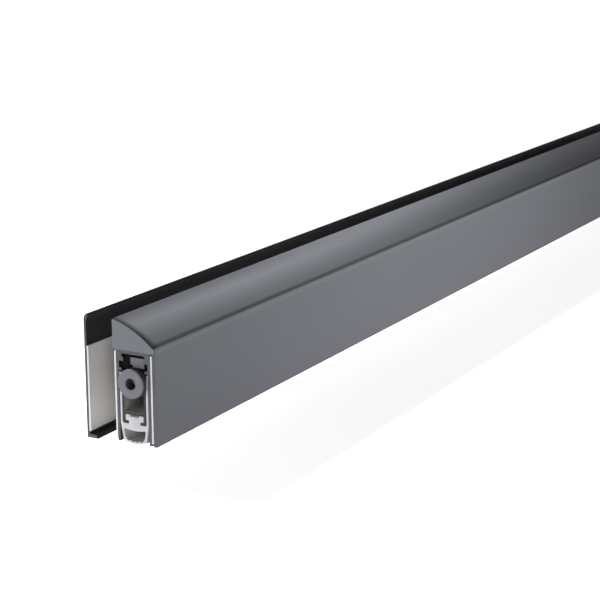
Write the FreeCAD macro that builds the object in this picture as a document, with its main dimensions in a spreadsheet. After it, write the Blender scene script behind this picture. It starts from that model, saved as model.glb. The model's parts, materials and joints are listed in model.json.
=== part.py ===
# Automatic drop-down seal for a frameless glass door.
# A U-shaped casing is stuck to one face of the glass and carries a curved cover.
# Pressing the button at the casing's end slides a push rod, which bends two leaf
# springs and lowers a rail with a silicone seal. A counter strip is stuck to the
# other face of the glass. Lengths are in millimetres.
#
# Section frame: X runs along the casing from its button end, Y = 0 is the middle of
# the casing's width and +Y points to the glass, Z = 0 is the casing's lower edge.
# Every piece is drawn in the section frame. Its placement then moves the origin to
# the middle of the casing tape's adhesive face, where the seal meets the glass.
import FreeCAD, Part
import os
import Sketcher

SIZES = [
    # casing
    ("casing_length", 584.0),
    ("casing_width", 13.0),
    ("casing_height", 30.0),
    ("casing_wall", 1.0),
    ("casing_roof", 1.0),
    ("shoulder_wall", 2.2),
    ("roof_cavity", 1.1),
    ("upper_rib", 1.4),
    ("upper_rib_reach", 2.8),
    ("slot_height", 2.2),
    ("slot_wall", 1.1),
    ("lower_rib", 1.0),
    ("lower_rib_reach", 2.4),
    ("rib_round", 0.4),
    # tapes and glass
    ("tape", 0.6),
    ("tape_low", 0.7),
    ("tape_margin", 0.5),
    ("glass", 10.0),
    ("glass_clearance", 0.05),
    # cover
    ("cover_wall", 1.25),
    ("cover_rise", 9.95),
    ("crown_radius", 32.1),
    ("nose_radius", 1.2),
    ("nose_rise", 1.55),
    ("cover_lip", 0.15),
    ("cap_plate", 0.8),
    ("cap_inset", 0.3),
    ("cap_lift", 0.4),
    ("cap_clearance", 0.1),
    ("cap_plug", 6.0),
    ("cap_plug_wall", 1.2),
    # counter strip
    ("strip_wall", 0.9),
    ("strip_height", 41.1),
    ("strip_foot_drop", 1.0),
    ("strip_foot", 1.15),
    ("strip_foot_reach", 4.2),
    ("strip_foot_slant", 0.5),
    ("strip_foot_round", 0.8),
    ("strip_head", 3.6),
    ("strip_tape_low", 1.15),
    ("strip_tape_margin", 10.45),
    # seal and its rail
    ("seal_proud", 0.35),
    ("fin_gap", 0.2),
    ("fin", 0.75),
    ("fin_tip", 0.45),
    ("fin_headroom", 0.4),
    ("fin_taper", 0.8),
    ("bulb_height", 6.6),
    ("bulb_wall", 0.5),
    ("bulb_foot", 4.3),
    ("bulb_sag", 0.9),
    ("bulb_nib", 0.35),
    ("bulb_shoulder", 0.25),
    ("chamber_low", 3.3),
    ("chamber_high", 3.95),
    ("chamber_round", 4.0),
    ("web_thickness", 1.75),
    ("web_sag", 0.45),
    ("tooth", 0.6),
    ("neck_half", 2.15),
    ("neck_clearance", 0.05),
    ("head_half", 3.35),
    ("head_height", 1.95),
    ("ear", 1.55),
    ("ear_height", 0.6),
    ("ear_round", 0.35),
    ("rail_wall", 0.9),
    ("rail_flange", 1.0),
    ("rail_web", 0.9),
    ("rail_corner", 0.6),
    ("rail_headroom", 1.3),
    # button, spindle and plunger
    ("drop_travel", 12.0),
    ("button_travel", 6.0),
    ("button_drop", 3.4),
    ("button_clearance", 0.1),
    ("button_proud", 1.8),
    ("button_pad", 0.5),
    ("button_chamfer", 0.2),
    ("button_hole", 3.7),
    ("notch_margin", 0.4),
    ("plunger_head", 7.3),
    ("spindle", 4.0),
    ("spindle_length", 22.0),
    ("spindle_depth", 3.3),
    ("spindle_room", 1.0),
    ("socket", 2.0),
    ("socket_depth", 2.5),
    ("sleeve_wall", 0.6),
    ("sleeve_length", 34.0),
    ("running_fit", 0.05),
    # blocks in the casing
    ("block_clearance", 0.1),
    ("block_recess", 0.6),
    ("hood_clearance", 0.25),
    ("guide_end", 24.0),
    ("inner_clearance", 0.3),
    ("anchor_length", 14.0),
    ("far_block_length", 22.0),
    ("far_tongue", 9.0),
    # push rod and what rides on it
    ("rod_width", 5.2),
    ("rod_thickness", 2.4),
    ("rod_start", 0.8),
    ("rod_toe", 0.8),
    ("rod_toe_step", 0.9),
    ("rod_toe_length", 4.5),
    ("driver_start", 28.0),
    ("driver_length", 12.0),
    ("slider_length", 14.0),
    ("slider_height", 3.1),
    ("driver_pin", 1.6),
    # leaf springs
    ("spring_inset", 134.0),
    ("spring_span", 140.0),
    ("spring_width", 5.0),
    ("spring_leaf", 0.5),
    ("spring_seat", 10.0),
    ("saddle_length", 14.0),
    ("saddle_height", 3.3),
    # rivets
    ("rivet", 2.0),
    ("rivet_hole", 2.1),
    ("rivet_head", 3.2),
    ("rivet_head_height", 0.7),
    ("post_pin", 1.2),
]

doc = FreeCAD.newDocument("drop_seal")
dim = doc.addObject("Spreadsheet::Sheet", "dim")
for row, (alias, size) in enumerate(SIZES, start=1):
    dim.set(f"A{row}", alias)
    dim.set(f"B{row}", str(size))
    dim.setAlias(f"B{row}", alias)
doc.recompute()

# Heights and half widths that several pieces share, each worked out from the sheet.
HALF = "dim.casing_width / 2"
CHANNEL = "(dim.casing_width / 2 - dim.casing_wall)"
ROOF = "(dim.casing_height - dim.casing_roof)"
RIB_TOP = f"({ROOF} - dim.roof_cavity)"
SLOT_TOP = f"({RIB_TOP} - dim.upper_rib)"
SLOT_FLOOR = f"({SLOT_TOP} - dim.slot_height)"
RIB_FLOOR = f"({SLOT_FLOOR} - dim.lower_rib)"
FIN_OUTER = f"({CHANNEL} - dim.fin_gap)"
RAIL_OUTER = f"({FIN_OUTER} - dim.fin)"
RAIL_INNER = f"({RAIL_OUTER} - dim.rail_wall)"
INNER_HALF = f"({RAIL_INNER} - dim.inner_clearance)"
RAIL_FLOOR = "(dim.bulb_height - dim.seal_proud)"
FLANGE_TOP = f"({RAIL_FLOOR} + dim.rail_flange)"
WEB_UNDER = f"({FLANGE_TOP} + dim.head_height + dim.neck_clearance)"
WEB_TOP = f"({WEB_UNDER} + dim.rail_web)"
RAIL_TOP = f"({RIB_FLOOR} - dim.rail_headroom)"
BUTTON_Z = f"({RIB_FLOOR} - dim.button_drop)"
BUTTON_R = f"({FIN_OUTER} - dim.fin_tip - dim.button_clearance)"
SLEEVE_R = "(dim.spindle / 2 + dim.running_fit + dim.sleeve_wall)"
PAD_BACK = "(dim.button_pad - dim.button_proud)"
HEAD_END = f"({PAD_BACK} + dim.plunger_head)"
SPINDLE_START = f"({PAD_BACK} + dim.spindle_depth)"
GUIDE_FACE = f"({HEAD_END} + dim.button_travel + dim.inner_clearance)"
GLASS_NEAR = f"({HALF} + dim.tape)"
GLASS_FAR = f"({HALF} + dim.tape + dim.glass)"
COVER_FRONT = f"(0 - {HALF} - dim.tape - dim.cover_wall)"
COVER_REAR = f"({GLASS_NEAR} - dim.glass_clearance)"
ROD_NEAR = f"(dim.upper_rib_reach + dim.block_clearance - {HALF})"
ROD_FAR = f"({ROD_NEAR} + dim.rod_width)"
ROD_MIDDLE = f"({ROD_NEAR} + dim.rod_width / 2)"
ROD_FLOOR = f"({RIB_TOP} - dim.rod_thickness)"
SLIDER_FLOOR = f"({ROD_FLOOR} - dim.slider_height)"
SADDLE_TOP = f"({WEB_TOP} + dim.saddle_height)"
POST_NEAR = f"({ROD_FAR} + dim.running_fit)"
POST_FAR = f"({HALF} - dim.upper_rib_reach - dim.block_clearance)"
POST_MIDDLE = f"(({POST_NEAR} + {POST_FAR}) / 2)"
POST_HOLE = "dim.post_pin / 2 + dim.running_fit"
FAR_SPRING = "(dim.casing_length - dim.spring_inset)"
HALF_SPAN = "dim.spring_span / 2"
SPRING_CENTRES = {"near": "dim.spring_inset", "far": FAR_SPRING}
TAPE_HIGH = "(dim.casing_height - dim.tape_margin)"
TAPE_MIDDLE = f"(dim.tape_low + {TAPE_HIGH}) / 2"
STRIP_TOP = "(dim.strip_height - dim.strip_foot_drop)"
STRIP_TAPE_HIGH = f"({STRIP_TOP} - dim.strip_tape_margin)"


def value(expression):
    """The present value of an expression in the sheet's sizes."""
    return float(doc.getObject("dim").evalExpression(expression.replace("dim.", "")))


def new_body(label):
    """An empty piece, placed so that the origin lies on the adhesive face."""
    body = doc.addObject("PartDesign::Body", label)
    body.Label = label
    body.AllowCompound = True
    body.setExpression("Placement.Base.x", "0 - dim.casing_length / 2")
    body.setExpression("Placement.Base.y", f"0 - {GLASS_NEAR}")
    body.setExpression("Placement.Base.z", f"0 - {TAPE_MIDDLE}")
    return body


def new_sketch(body, plane, name, offset="0"):
    """A sketch on one of the body's origin planes, moved along its normal by an offset."""
    support = next(f for f in body.Origin.OriginFeatures if f.Role == plane)
    sketch = body.newObject("Sketcher::SketchObject", f"{body.Label}_{name}")
    sketch.AttachmentSupport = [(support, "")]
    sketch.MapMode = "FlatFace"
    if offset != "0":
        sketch.setExpression("AttachmentOffset.Base.z", offset)
    return sketch


def vector(corner):
    return FreeCAD.Vector(value(corner[0]), value(corner[1]), 0)


def pin_point(sketch, geometry, point, corner):
    """Dimension a point from the sketch's origin, both ways."""
    here = vector(corner)
    for kind, number, axis, expression in (
        ("DistanceX", here.x, -2, corner[0]),
        ("DistanceY", here.y, -1, corner[1]),
    ):
        if expression == "0":
            sketch.addConstraint(Sketcher.Constraint("PointOnObject", geometry, point, axis))
            continue
        constraint = Sketcher.Constraint(kind, -1, 1, geometry, point, number)
        index = sketch.addConstraint(constraint)
        sketch.setExpression(f"Constraints[{index}]", expression)


def set_radius(sketch, geometry, expression):
    constraint = Sketcher.Constraint("Radius", geometry, value(expression))
    index = sketch.addConstraint(constraint)
    sketch.setExpression(f"Constraints[{index}]", expression)


def add_arc(sketch, start, end, radius, side):
    """An arc from start to end that bulges to the left (1) or right (-1) of its chord."""
    chord = end - start
    half = chord.Length / 2
    rise = radius - max(radius * radius - half * half, 0) ** 0.5
    across = FreeCAD.Vector(-chord.y, chord.x, 0).normalize()
    middle = (start + end) * 0.5 + across * (rise * side)
    return sketch.addGeometry(Part.Arc(start, middle, end), False)


def end_near(sketch, geometry, place):
    """Which end of an edge, 1 or 2, lies at a place."""
    first = (sketch.getPoint(geometry, 1) - place).Length
    second = (sketch.getPoint(geometry, 2) - place).Length
    return 1 if first < second else 2


def draw_outline(sketch, corners):
    """A closed outline. A corner is (across, up), or (across, up, radius, side) where
    an arc instead of a straight edge runs on to the next corner."""
    ends = []
    for corner, following in zip(corners, corners[1:] + corners[:1]):
        start = vector(corner)
        end = vector(following)
        if len(corner) == 4:
            geometry = add_arc(sketch, start, end, value(corner[2]), corner[3])
        else:
            geometry = sketch.addGeometry(Part.LineSegment(start, end), False)
        first = end_near(sketch, geometry, start)
        ends.append((geometry, first, 3 - first))
    for index, corner in enumerate(corners):
        geometry, first, last = ends[index]
        following, following_first, _ = ends[(index + 1) % len(ends)]
        pin_point(sketch, geometry, first, corner)
        joint = Sketcher.Constraint("Coincident", geometry, last, following, following_first)
        sketch.addConstraint(joint)
        if len(corner) == 4:
            set_radius(sketch, geometry, corner[2])


def mirrored(half):
    """A whole outline from its +Y half, listed from below upwards."""
    whole = list(half)
    links = [corner[2:] for corner in half]
    for index in range(len(half) - 1, -1, -1):
        across, up = half[index][:2]
        link = links[index - 1] if index else ()
        if across == "0":
            if index == len(half) - 1:
                whole[-1] = (across, up) + link
            continue
        whole.append((f"0 - ({across})", up) + link)
    return whole


def draw_box(sketch, left, right, low, high):
    draw_outline(sketch, [(left, low), (right, low), (right, high), (left, high)])


def draw_circle(sketch, centre, radius):
    circle = Part.Circle(vector(centre), FreeCAD.Vector(0, 0, 1), value(radius))
    geometry = sketch.addGeometry(circle, False)
    pin_point(sketch, geometry, 3, centre)
    set_radius(sketch, geometry, radius)


def new_pad(sketch, length, both_ways=False):
    body = sketch.getParentGeoFeatureGroup()
    pad = body.newObject("PartDesign::Pad", f"{sketch.Name}_pad")
    pad.Profile = sketch
    pad.Midplane = both_ways
    pad.setExpression("Length", length)
    return pad


def new_pocket(sketch, length, reversed_way=False, both_ways=False):
    """Cut along the sketch's normal, or against it, and make sure that it did cut."""
    body = sketch.getParentGeoFeatureGroup()
    doc.recompute()
    before = body.Shape.Volume
    pocket = body.newObject("PartDesign::Pocket", f"{sketch.Name}_pocket")
    pocket.Profile = sketch
    pocket.Midplane = both_ways
    pocket.Reversed = reversed_way
    pocket.setExpression("Length", length)
    doc.recompute()
    if body.Shape.Volume >= before:
        raise RuntimeError(f"{sketch.Name} cut nothing")
    return pocket


def round_edges(body, radius, corners):
    """Round the lengthwise edges that run through the given section corners."""
    doc.recompute()
    base = body.Tip
    names = []
    for index, edge in enumerate(base.Shape.Edges, start=1):
        start, end = edge.firstVertex().Point, edge.lastVertex().Point
        if (end - start).cross(FreeCAD.Vector(1, 0, 0)).Length > 1e-6:
            continue
        for corner in corners:
            place = vector(corner)
            if abs(start.y - place.x) < 1e-4 and abs(start.z - place.y) < 1e-4:
                names.append(f"Edge{index}")
    if not names:
        raise RuntimeError(f"{body.Label} has no edge to round")
    fillet = body.newObject("PartDesign::Fillet", f"{body.Label}_{radius[4:]}")
    fillet.Base = (base, names)
    fillet.setExpression("Radius", radius)
    return fillet


def extrude_section(label, corners, start, length):
    """A body made of one section drawn across the casing and drawn out along X."""
    body = new_body(label)
    sketch = new_sketch(body, "YZ_Plane", "section", start)
    draw_outline(sketch, corners)
    new_pad(sketch, length)
    return body


# Casing and tapes

def make_casing():
    """The extruded casing: open below, with two pairs of ribs that form side slots."""
    shoulder = f"({HALF} - dim.shoulder_wall)"
    upper_tip = f"({HALF} - dim.upper_rib_reach)"
    lower_tip = f"({HALF} - dim.lower_rib_reach)"
    slot = f"({HALF} - dim.slot_wall)"
    inside = mirrored([
        (CHANNEL, "0"),
        (CHANNEL, RIB_FLOOR),
        (f"{lower_tip} + dim.lower_rib / 2", RIB_FLOOR, "dim.lower_rib * 0.55", 1),
        (f"{lower_tip} + dim.lower_rib / 2", SLOT_FLOOR),
        (slot, SLOT_FLOOR),
        (slot, SLOT_TOP),
        (upper_tip, SLOT_TOP),
        (upper_tip, RIB_TOP),
        (shoulder, RIB_TOP),
        (shoulder, ROOF),
    ])
    front = f"0 - {HALF}"
    outside = [(front, "0"), (front, "dim.casing_height"), (HALF, "dim.casing_height"), (HALF, "0")]
    body = extrude_section("casing", outside + inside, "0", "dim.casing_length")
    tips = [(side, level) for side in (upper_tip, f"0 - {upper_tip}") for level in (SLOT_TOP, RIB_TOP)]
    round_edges(body, "dim.rib_round", tips)
    holes = new_sketch(body, "XY_Plane", "rivet_holes", ROOF)
    for place in BLOCK_RIVETS:
        draw_circle(holes, (place, POST_MIDDLE), POST_HOLE)
    new_pocket(holes, "dim.casing_roof", reversed_way=True)


def make_casing_tape():
    """Foam tape between the casing and the glass."""
    corners = [(HALF, "dim.tape_low"), (GLASS_NEAR, "dim.tape_low"),
               (GLASS_NEAR, TAPE_HIGH), (HALF, TAPE_HIGH)]
    extrude_section("casing_tape", corners, "0", "dim.casing_length")


def make_cover_tape():
    """Foam tape between the casing's front and the cover."""
    outer = f"0 - {HALF} - dim.tape"
    inner = f"0 - {HALF}"
    corners = [(outer, "dim.tape_low"), (inner, "dim.tape_low"),
               (inner, TAPE_HIGH), (outer, TAPE_HIGH)]
    extrude_section("cover_tape", corners, "0", "dim.casing_length")


# Cover

def draw_crown(sketch, inset, below, guide=False):
    """The cover's curved outline: a crown arc, a nose arc tangent to it and to the
    straight front. The corners in below close it from the front's foot to the rear.
    A guide is only there for other edges to follow and takes no part in the section."""
    rear = (COVER_REAR, f"dim.casing_height + dim.cover_rise - {inset}")
    nose = (f"{COVER_FRONT} + {inset}", "dim.casing_height + dim.nose_rise")
    foot = vector(nose)
    guess = value("dim.nose_radius")
    meeting = foot + FreeCAD.Vector(guess * 0.3, guess * 0.7, 0)
    crown = add_arc(sketch, vector(rear), meeting, value(f"dim.crown_radius - {inset}"), -1)
    bend = add_arc(sketch, meeting, foot, value(f"dim.nose_radius - {inset}"), -1)
    corners = [nose] + below + [rear]
    edges = []
    for corner, following in zip(corners, corners[1:]):
        edges.append(sketch.addGeometry(Part.LineSegment(vector(corner), vector(following)), False))
    crown_rear = end_near(sketch, crown, vector(rear))
    bend_foot = end_near(sketch, bend, foot)
    pin_point(sketch, crown, crown_rear, rear)
    pin_point(sketch, bend, bend_foot, nose)
    set_radius(sketch, crown, f"dim.crown_radius - {inset}")
    set_radius(sketch, bend, f"dim.nose_radius - {inset}")
    sketch.addConstraint(Sketcher.Constraint("Tangent", crown, 3 - crown_rear, bend, 3 - bend_foot))
    sketch.addConstraint(Sketcher.Constraint("Tangent", bend, bend_foot, edges[0], 1))
    for edge, corner in zip(edges[1:], below):
        pin_point(sketch, edge, 1, corner)
    for edge, following in zip(edges, edges[1:]):
        sketch.addConstraint(Sketcher.Constraint("Coincident", edge, 2, following, 1))
    sketch.addConstraint(Sketcher.Constraint("Coincident", edges[-1], 2, crown, crown_rear))
    if guide:
        for geometry in [crown, bend] + edges:
            sketch.setConstruction(geometry, True)
    return crown


def draw_head_room(sketch, crown, gap, brow):
    """The room inside the cover's head: a floor, two upright ends and an arc concentric
    with the crown. gap is its distance from the cover's outside, brow from the nose."""
    floor = f"dim.casing_height + {gap}"
    rear = f"{COVER_REAR} - {gap}"
    front = f"{COVER_FRONT} + {gap} + {brow}"
    centre = sketch.getPoint(crown, 3)
    radius = value(f"dim.crown_radius - {gap}")
    tops = []
    for across in (rear, front):
        reach = value(across) - centre.x
        tops.append(FreeCAD.Vector(value(across), centre.y + (radius ** 2 - reach ** 2) ** 0.5, 0))
    arc = add_arc(sketch, tops[0], tops[1], radius, -1)
    rear_end = end_near(sketch, arc, tops[0])
    low_rear, low_front = vector((rear, floor)), vector((front, floor))
    down = sketch.addGeometry(Part.LineSegment(tops[1], low_front), False)
    along = sketch.addGeometry(Part.LineSegment(low_front, low_rear), False)
    up = sketch.addGeometry(Part.LineSegment(low_rear, tops[0]), False)
    sketch.addConstraint(Sketcher.Constraint("Coincident", crown, 3, arc, 3))
    set_radius(sketch, arc, f"dim.crown_radius - {gap}")
    pin_point(sketch, along, 1, (front, floor))
    pin_point(sketch, along, 2, (rear, floor))
    for first, last in (((down, 2), (along, 1)), ((along, 2), (up, 1)),
                        ((up, 2), (arc, rear_end)), ((down, 1), (arc, 3 - rear_end))):
        sketch.addConstraint(Sketcher.Constraint("Coincident", first[0], first[1], last[0], last[1]))
    sketch.addConstraint(Sketcher.Constraint("Vertical", down))
    sketch.addConstraint(Sketcher.Constraint("Vertical", up))


def crown_guide(sketch):
    """The cover's outline as a guide only."""
    level = "dim.casing_height"
    return draw_crown(sketch, "0", [(COVER_FRONT, level), (COVER_REAR, level)], guide=True)


def make_cover():
    """The cover: hollow curved head over the casing and a thin wall in front of it."""
    front_inner = f"{COVER_FRONT} + dim.cover_wall"
    below = [
        (COVER_FRONT, "0 - dim.cover_lip"),
        (front_inner, "0 - dim.cover_lip"),
        (front_inner, "dim.casing_height"),
        (COVER_REAR, "dim.casing_height"),
    ]
    body = new_body("cover_profile")
    sketch = new_sketch(body, "YZ_Plane", "section")
    draw_crown(sketch, "0", below)
    new_pad(sketch, "dim.casing_length")
    hollow = new_sketch(body, "YZ_Plane", "hollow")
    draw_head_room(hollow, crown_guide(hollow), "dim.cover_wall", "dim.nose_radius")
    new_pocket(hollow, "dim.casing_length", reversed_way=True)


def make_cover_cap(label, plate_start, plug_start):
    """An end cap: a plate in front of the cover's end and a hollow plug inside the head."""
    body = new_body(label)
    floor = "dim.casing_height + dim.cap_lift"
    plate = new_sketch(body, "YZ_Plane", "plate", plate_start)
    foot = [(f"{COVER_FRONT} + dim.cap_inset", floor), (COVER_REAR, floor)]
    draw_crown(plate, "dim.cap_inset", foot)
    new_pad(plate, "dim.cap_plate")
    plug = new_sketch(body, "YZ_Plane", "plug", plug_start)
    crown = crown_guide(plug)
    outside = "(dim.cover_wall + dim.cap_clearance)"
    draw_head_room(plug, crown, outside, "dim.nose_radius")
    inside = f"({outside} + dim.cap_plug_wall)"
    draw_head_room(plug, crown, inside, "dim.nose_radius + 3 * dim.cap_plug_wall")
    new_pad(plug, "dim.cap_plug")


# Counter strip

def make_back_strip():
    """The counter strip: wall, foot under the glass edge and a rounded head."""
    inner = f"{GLASS_FAR} + dim.tape"
    outer = f"({inner} + dim.strip_wall)"
    foot_floor = "0 - dim.strip_foot_drop"
    foot_top = "(dim.strip_foot - dim.strip_foot_drop)"
    tip = f"({outer} - dim.strip_foot_reach)"
    lip = f"({GLASS_FAR} + dim.glass_clearance)"
    corners = [
        (tip, foot_floor),
        (outer, foot_floor),
        (outer, f"{STRIP_TOP} - dim.strip_head / 2", "dim.strip_head * 0.75", -1),
        (f"{outer} - dim.strip_wall", STRIP_TOP, "dim.strip_wall * 0.6", -1),
        (lip, f"{STRIP_TOP} - dim.strip_wall", "dim.strip_head * 1.6", 1),
        (inner, f"{STRIP_TOP} - dim.strip_head - dim.strip_wall"),
        (inner, f"{foot_top} + dim.strip_foot_round", "dim.strip_foot_round", 1),
        (f"{inner} - dim.strip_foot_round", foot_top),
        (f"{tip} + dim.strip_foot_slant", foot_top),
    ]
    extrude_section("back_strip", corners, "0", "dim.casing_length")


def make_back_tape():
    """Foam tape between the counter strip and the glass."""
    corners = [
        (GLASS_FAR, "dim.strip_tape_low"),
        (f"{GLASS_FAR} + dim.tape", "dim.strip_tape_low"),
        (f"{GLASS_FAR} + dim.tape", STRIP_TAPE_HIGH),
        (GLASS_FAR, STRIP_TAPE_HIGH),
    ]
    extrude_section("back_tape", corners, "0", "dim.casing_length")


# Rail and seal

def cut_button_notch(body, half_width, low):
    """Room at the near end of a lowered piece for the button to come in above it."""
    notch = new_sketch(body, "YZ_Plane", "button_notch")
    draw_box(notch, f"0 - {half_width}", half_width, low, f"{RIB_FLOOR} + 1")
    fall = f"({RAIL_TOP} - {low}) * dim.button_travel / dim.drop_travel"
    new_pocket(notch, f"{HEAD_END} + {fall} + dim.notch_margin", reversed_way=True)


def make_drop_rail():
    """The aluminium rail: side walls, a web, and two flanges that hold the seal's head."""
    lip = "(dim.neck_half + dim.neck_clearance)"
    upper = [(RAIL_INNER, WEB_TOP), (RAIL_INNER, RAIL_TOP), (RAIL_OUTER, RAIL_TOP), (RAIL_OUTER, RAIL_FLOOR)]
    lower = [(lip, RAIL_FLOOR), (lip, FLANGE_TOP), (RAIL_INNER, FLANGE_TOP), (RAIL_INNER, WEB_UNDER)]
    right = upper + lower
    left = [(f"0 - {across}", up) for across, up in reversed(right)]
    body = extrude_section("drop_rail", right + left, "0", "dim.casing_length")
    round_edges(body, "dim.rail_corner", LOWER_CORNERS)
    floor = f"({BUTTON_Z} - {BUTTON_R} * 0.74)"
    cut_button_notch(body, f"({RAIL_OUTER} + 1)", floor)
    holes = new_sketch(body, "XY_Plane", "rivet_holes", WEB_UNDER)
    for centre in SPRING_CENTRES.values():
        draw_circle(holes, (centre, "0"), "dim.rivet_hole / 2")
    new_pocket(holes, "dim.rail_web", reversed_way=True)


def bulb_inside(across):
    """The height of the bulb's inner floor at a distance from the middle."""
    radius = "((dim.bulb_foot ^ 2 + dim.bulb_sag ^ 2) / (2 * dim.bulb_sag))"
    floor = "(dim.bulb_wall - dim.seal_proud)"
    return f"{floor} + {radius} - sqrt({radius} ^ 2 - ({across}) ^ 2)"


def make_seal():
    """The silicone seal: head and neck in the rail, side fins, and a hollow ribbed bulb."""
    foot_radius = "(dim.bulb_foot ^ 2 + dim.bulb_sag ^ 2) / (2 * dim.bulb_sag)"
    foot_level = "(dim.bulb_sag - dim.seal_proud)"
    fin_inner = f"({FIN_OUTER} - dim.fin_tip)"
    fin_top = f"({RIB_FLOOR} - dim.fin_headroom)"
    thin_from = f"({BUTTON_Z} - {BUTTON_R} / 2)"
    head_top = f"({FLANGE_TOP} + dim.head_height)"
    half = [
        ("0", "0 - dim.seal_proud", foot_radius, -1),
        ("dim.bulb_foot", foot_level),
        ("dim.bulb_foot + dim.bulb_nib", f"{foot_level} + dim.bulb_nib / 2"),
        ("dim.bulb_foot + dim.bulb_nib / 4", f"{foot_level} + dim.bulb_nib"),
        (FIN_OUTER, f"{RAIL_FLOOR} - dim.bulb_shoulder"),
        (FIN_OUTER, f"{fin_top} - dim.fin_tip / 2", "dim.fin_tip * 0.55", -1),
        (fin_inner, f"{fin_top} - dim.fin_tip / 2"),
        (fin_inner, f"{thin_from} + dim.fin_taper"),
        (RAIL_OUTER, thin_from),
        (RAIL_OUTER, RAIL_FLOOR),
        ("dim.neck_half", RAIL_FLOOR),
        ("dim.neck_half", FLANGE_TOP),
        ("dim.head_half", FLANGE_TOP),
        ("dim.head_half", head_top),
        ("dim.head_half - dim.ear", head_top),
        ("dim.head_half - dim.ear", f"{head_top} - dim.ear_height"),
    ]
    body = extrude_section("seal_strip", mirrored(half), "0", "dim.casing_length")
    round_edges(body, "dim.rail_corner", LOWER_CORNERS)
    ears = [
        (f"{side} * dim.head_half", level)
        for side in (1, -1)
        for level in (FLANGE_TOP, head_top)
    ]
    round_edges(body, "dim.ear_round", ears)
    chamber = new_sketch(body, "YZ_Plane", "chamber")
    roof = f"({RAIL_FLOOR} - dim.web_thickness)"
    teeth = []
    for index in range(2 * TEETH + 1):
        across = f"dim.chamber_low * {index / TEETH - 1}"
        lift = "dim.tooth" if index % 2 == 0 else "0"
        teeth.append((across, f"{bulb_inside(across)} + {lift}"))
    bow = "(dim.chamber_high ^ 2 + dim.web_sag ^ 2) / (2 * dim.web_sag)"
    teeth[-1] += ("dim.chamber_round", -1)
    top = [
        ("dim.chamber_high", roof, bow, 1),
        ("0 - dim.chamber_high", roof, "dim.chamber_round", -1),
    ]
    draw_outline(chamber, teeth + top)
    new_pocket(chamber, "dim.casing_length", reversed_way=True)


# Blocks fixed in the casing

def block_half_widths():
    """Half widths of the casing's room at each level, less the blocks' clearance."""
    gap = "dim.block_clearance"
    return {
        "rib": f"({HALF} - dim.lower_rib_reach - {gap})",
        "slot": f"({HALF} - dim.slot_wall - {gap})",
        "neck": f"({HALF} - dim.upper_rib_reach - {gap})",
        "roof": f"({HALF} - dim.shoulder_wall - {gap})",
    }


def carrier_section(floor):
    """The section of every fixed block: it fills the casing's slots and leaves a step
    on the front side, in which the push rod lies. Corners 1 to 9 go up the glass side."""
    width = block_half_widths()
    slot_high = f"({SLOT_TOP} - dim.block_clearance)"
    step = f"({ROD_FLOOR} - dim.running_fit)"
    return [
        (f"0 - {width['rib']}", floor),
        (width["rib"], floor),
        (width["rib"], SLOT_FLOOR),
        (width["slot"], SLOT_FLOOR),
        (width["slot"], slot_high),
        (width["neck"], slot_high),
        (width["neck"], f"({RIB_TOP} + dim.block_clearance)"),
        (width["roof"], f"({RIB_TOP} + dim.block_clearance)"),
        (width["roof"], ROOF),
        (POST_NEAR, ROOF),
        (POST_NEAR, step),
        (f"0 - {width['slot']}", step),
        (f"0 - {width['slot']}", SLOT_FLOOR),
        (f"0 - {width['rib']}", SLOT_FLOOR),
    ]


def drill_down(body, places, across, radius, top, depth):
    """Vertical holes, cut downwards from a level."""
    sketch = new_sketch(body, "XY_Plane", "holes", top)
    for place in places:
        draw_circle(sketch, (place, across), radius)
    new_pocket(sketch, depth)


def make_guide_block():
    """The moulded block at the button end: a cheek beside the button's path and, behind
    it, a nose that hangs into the rail and guides the plunger's sleeve."""
    body = new_body("guide_block")
    floor = f"({RIB_FLOOR} + dim.block_clearance)"
    whole = new_sketch(body, "YZ_Plane", "section", GUIDE_FACE)
    draw_outline(whole, carrier_section(floor))
    new_pad(whole, f"dim.guide_end - {GUIDE_FACE}")
    cheek = new_sketch(body, "YZ_Plane", "cheek", "dim.block_recess")
    glass_side = carrier_section(floor)[1:10]
    draw_outline(cheek, glass_side + [(POST_NEAR, floor)])
    new_pad(cheek, f"{GUIDE_FACE} - dim.block_recess")
    path = new_sketch(body, "YZ_Plane", "button_path", "dim.block_recess")
    draw_circle(path, ("0", BUTTON_Z), f"{BUTTON_R} + dim.hood_clearance")
    new_pocket(path, f"{GUIDE_FACE} - dim.block_recess", reversed_way=True)
    nose = new_sketch(body, "YZ_Plane", "nose", GUIDE_FACE)
    low = f"({BUTTON_Z} - {INNER_HALF})"
    draw_outline(nose, [
        (f"0 - {INNER_HALF}", BUTTON_Z, INNER_HALF, -1),
        ("0", low, INNER_HALF, -1),
        (INNER_HALF, BUTTON_Z),
        (INNER_HALF, f"{floor} + 0.1"),
        (f"0 - {INNER_HALF}", f"{floor} + 0.1"),
    ])
    new_pad(nose, f"dim.guide_end - {GUIDE_FACE}")
    bore = new_sketch(body, "YZ_Plane", "sleeve_bore", GUIDE_FACE)
    draw_circle(bore, ("0", BUTTON_Z), f"{SLEEVE_R} + dim.running_fit")
    new_pocket(bore, f"dim.guide_end - {GUIDE_FACE}", reversed_way=True)
    drill_down(body, [BLOCK_RIVETS[0]], POST_MIDDLE, POST_HOLE, ROOF, RIVET_DEPTH)


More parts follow.
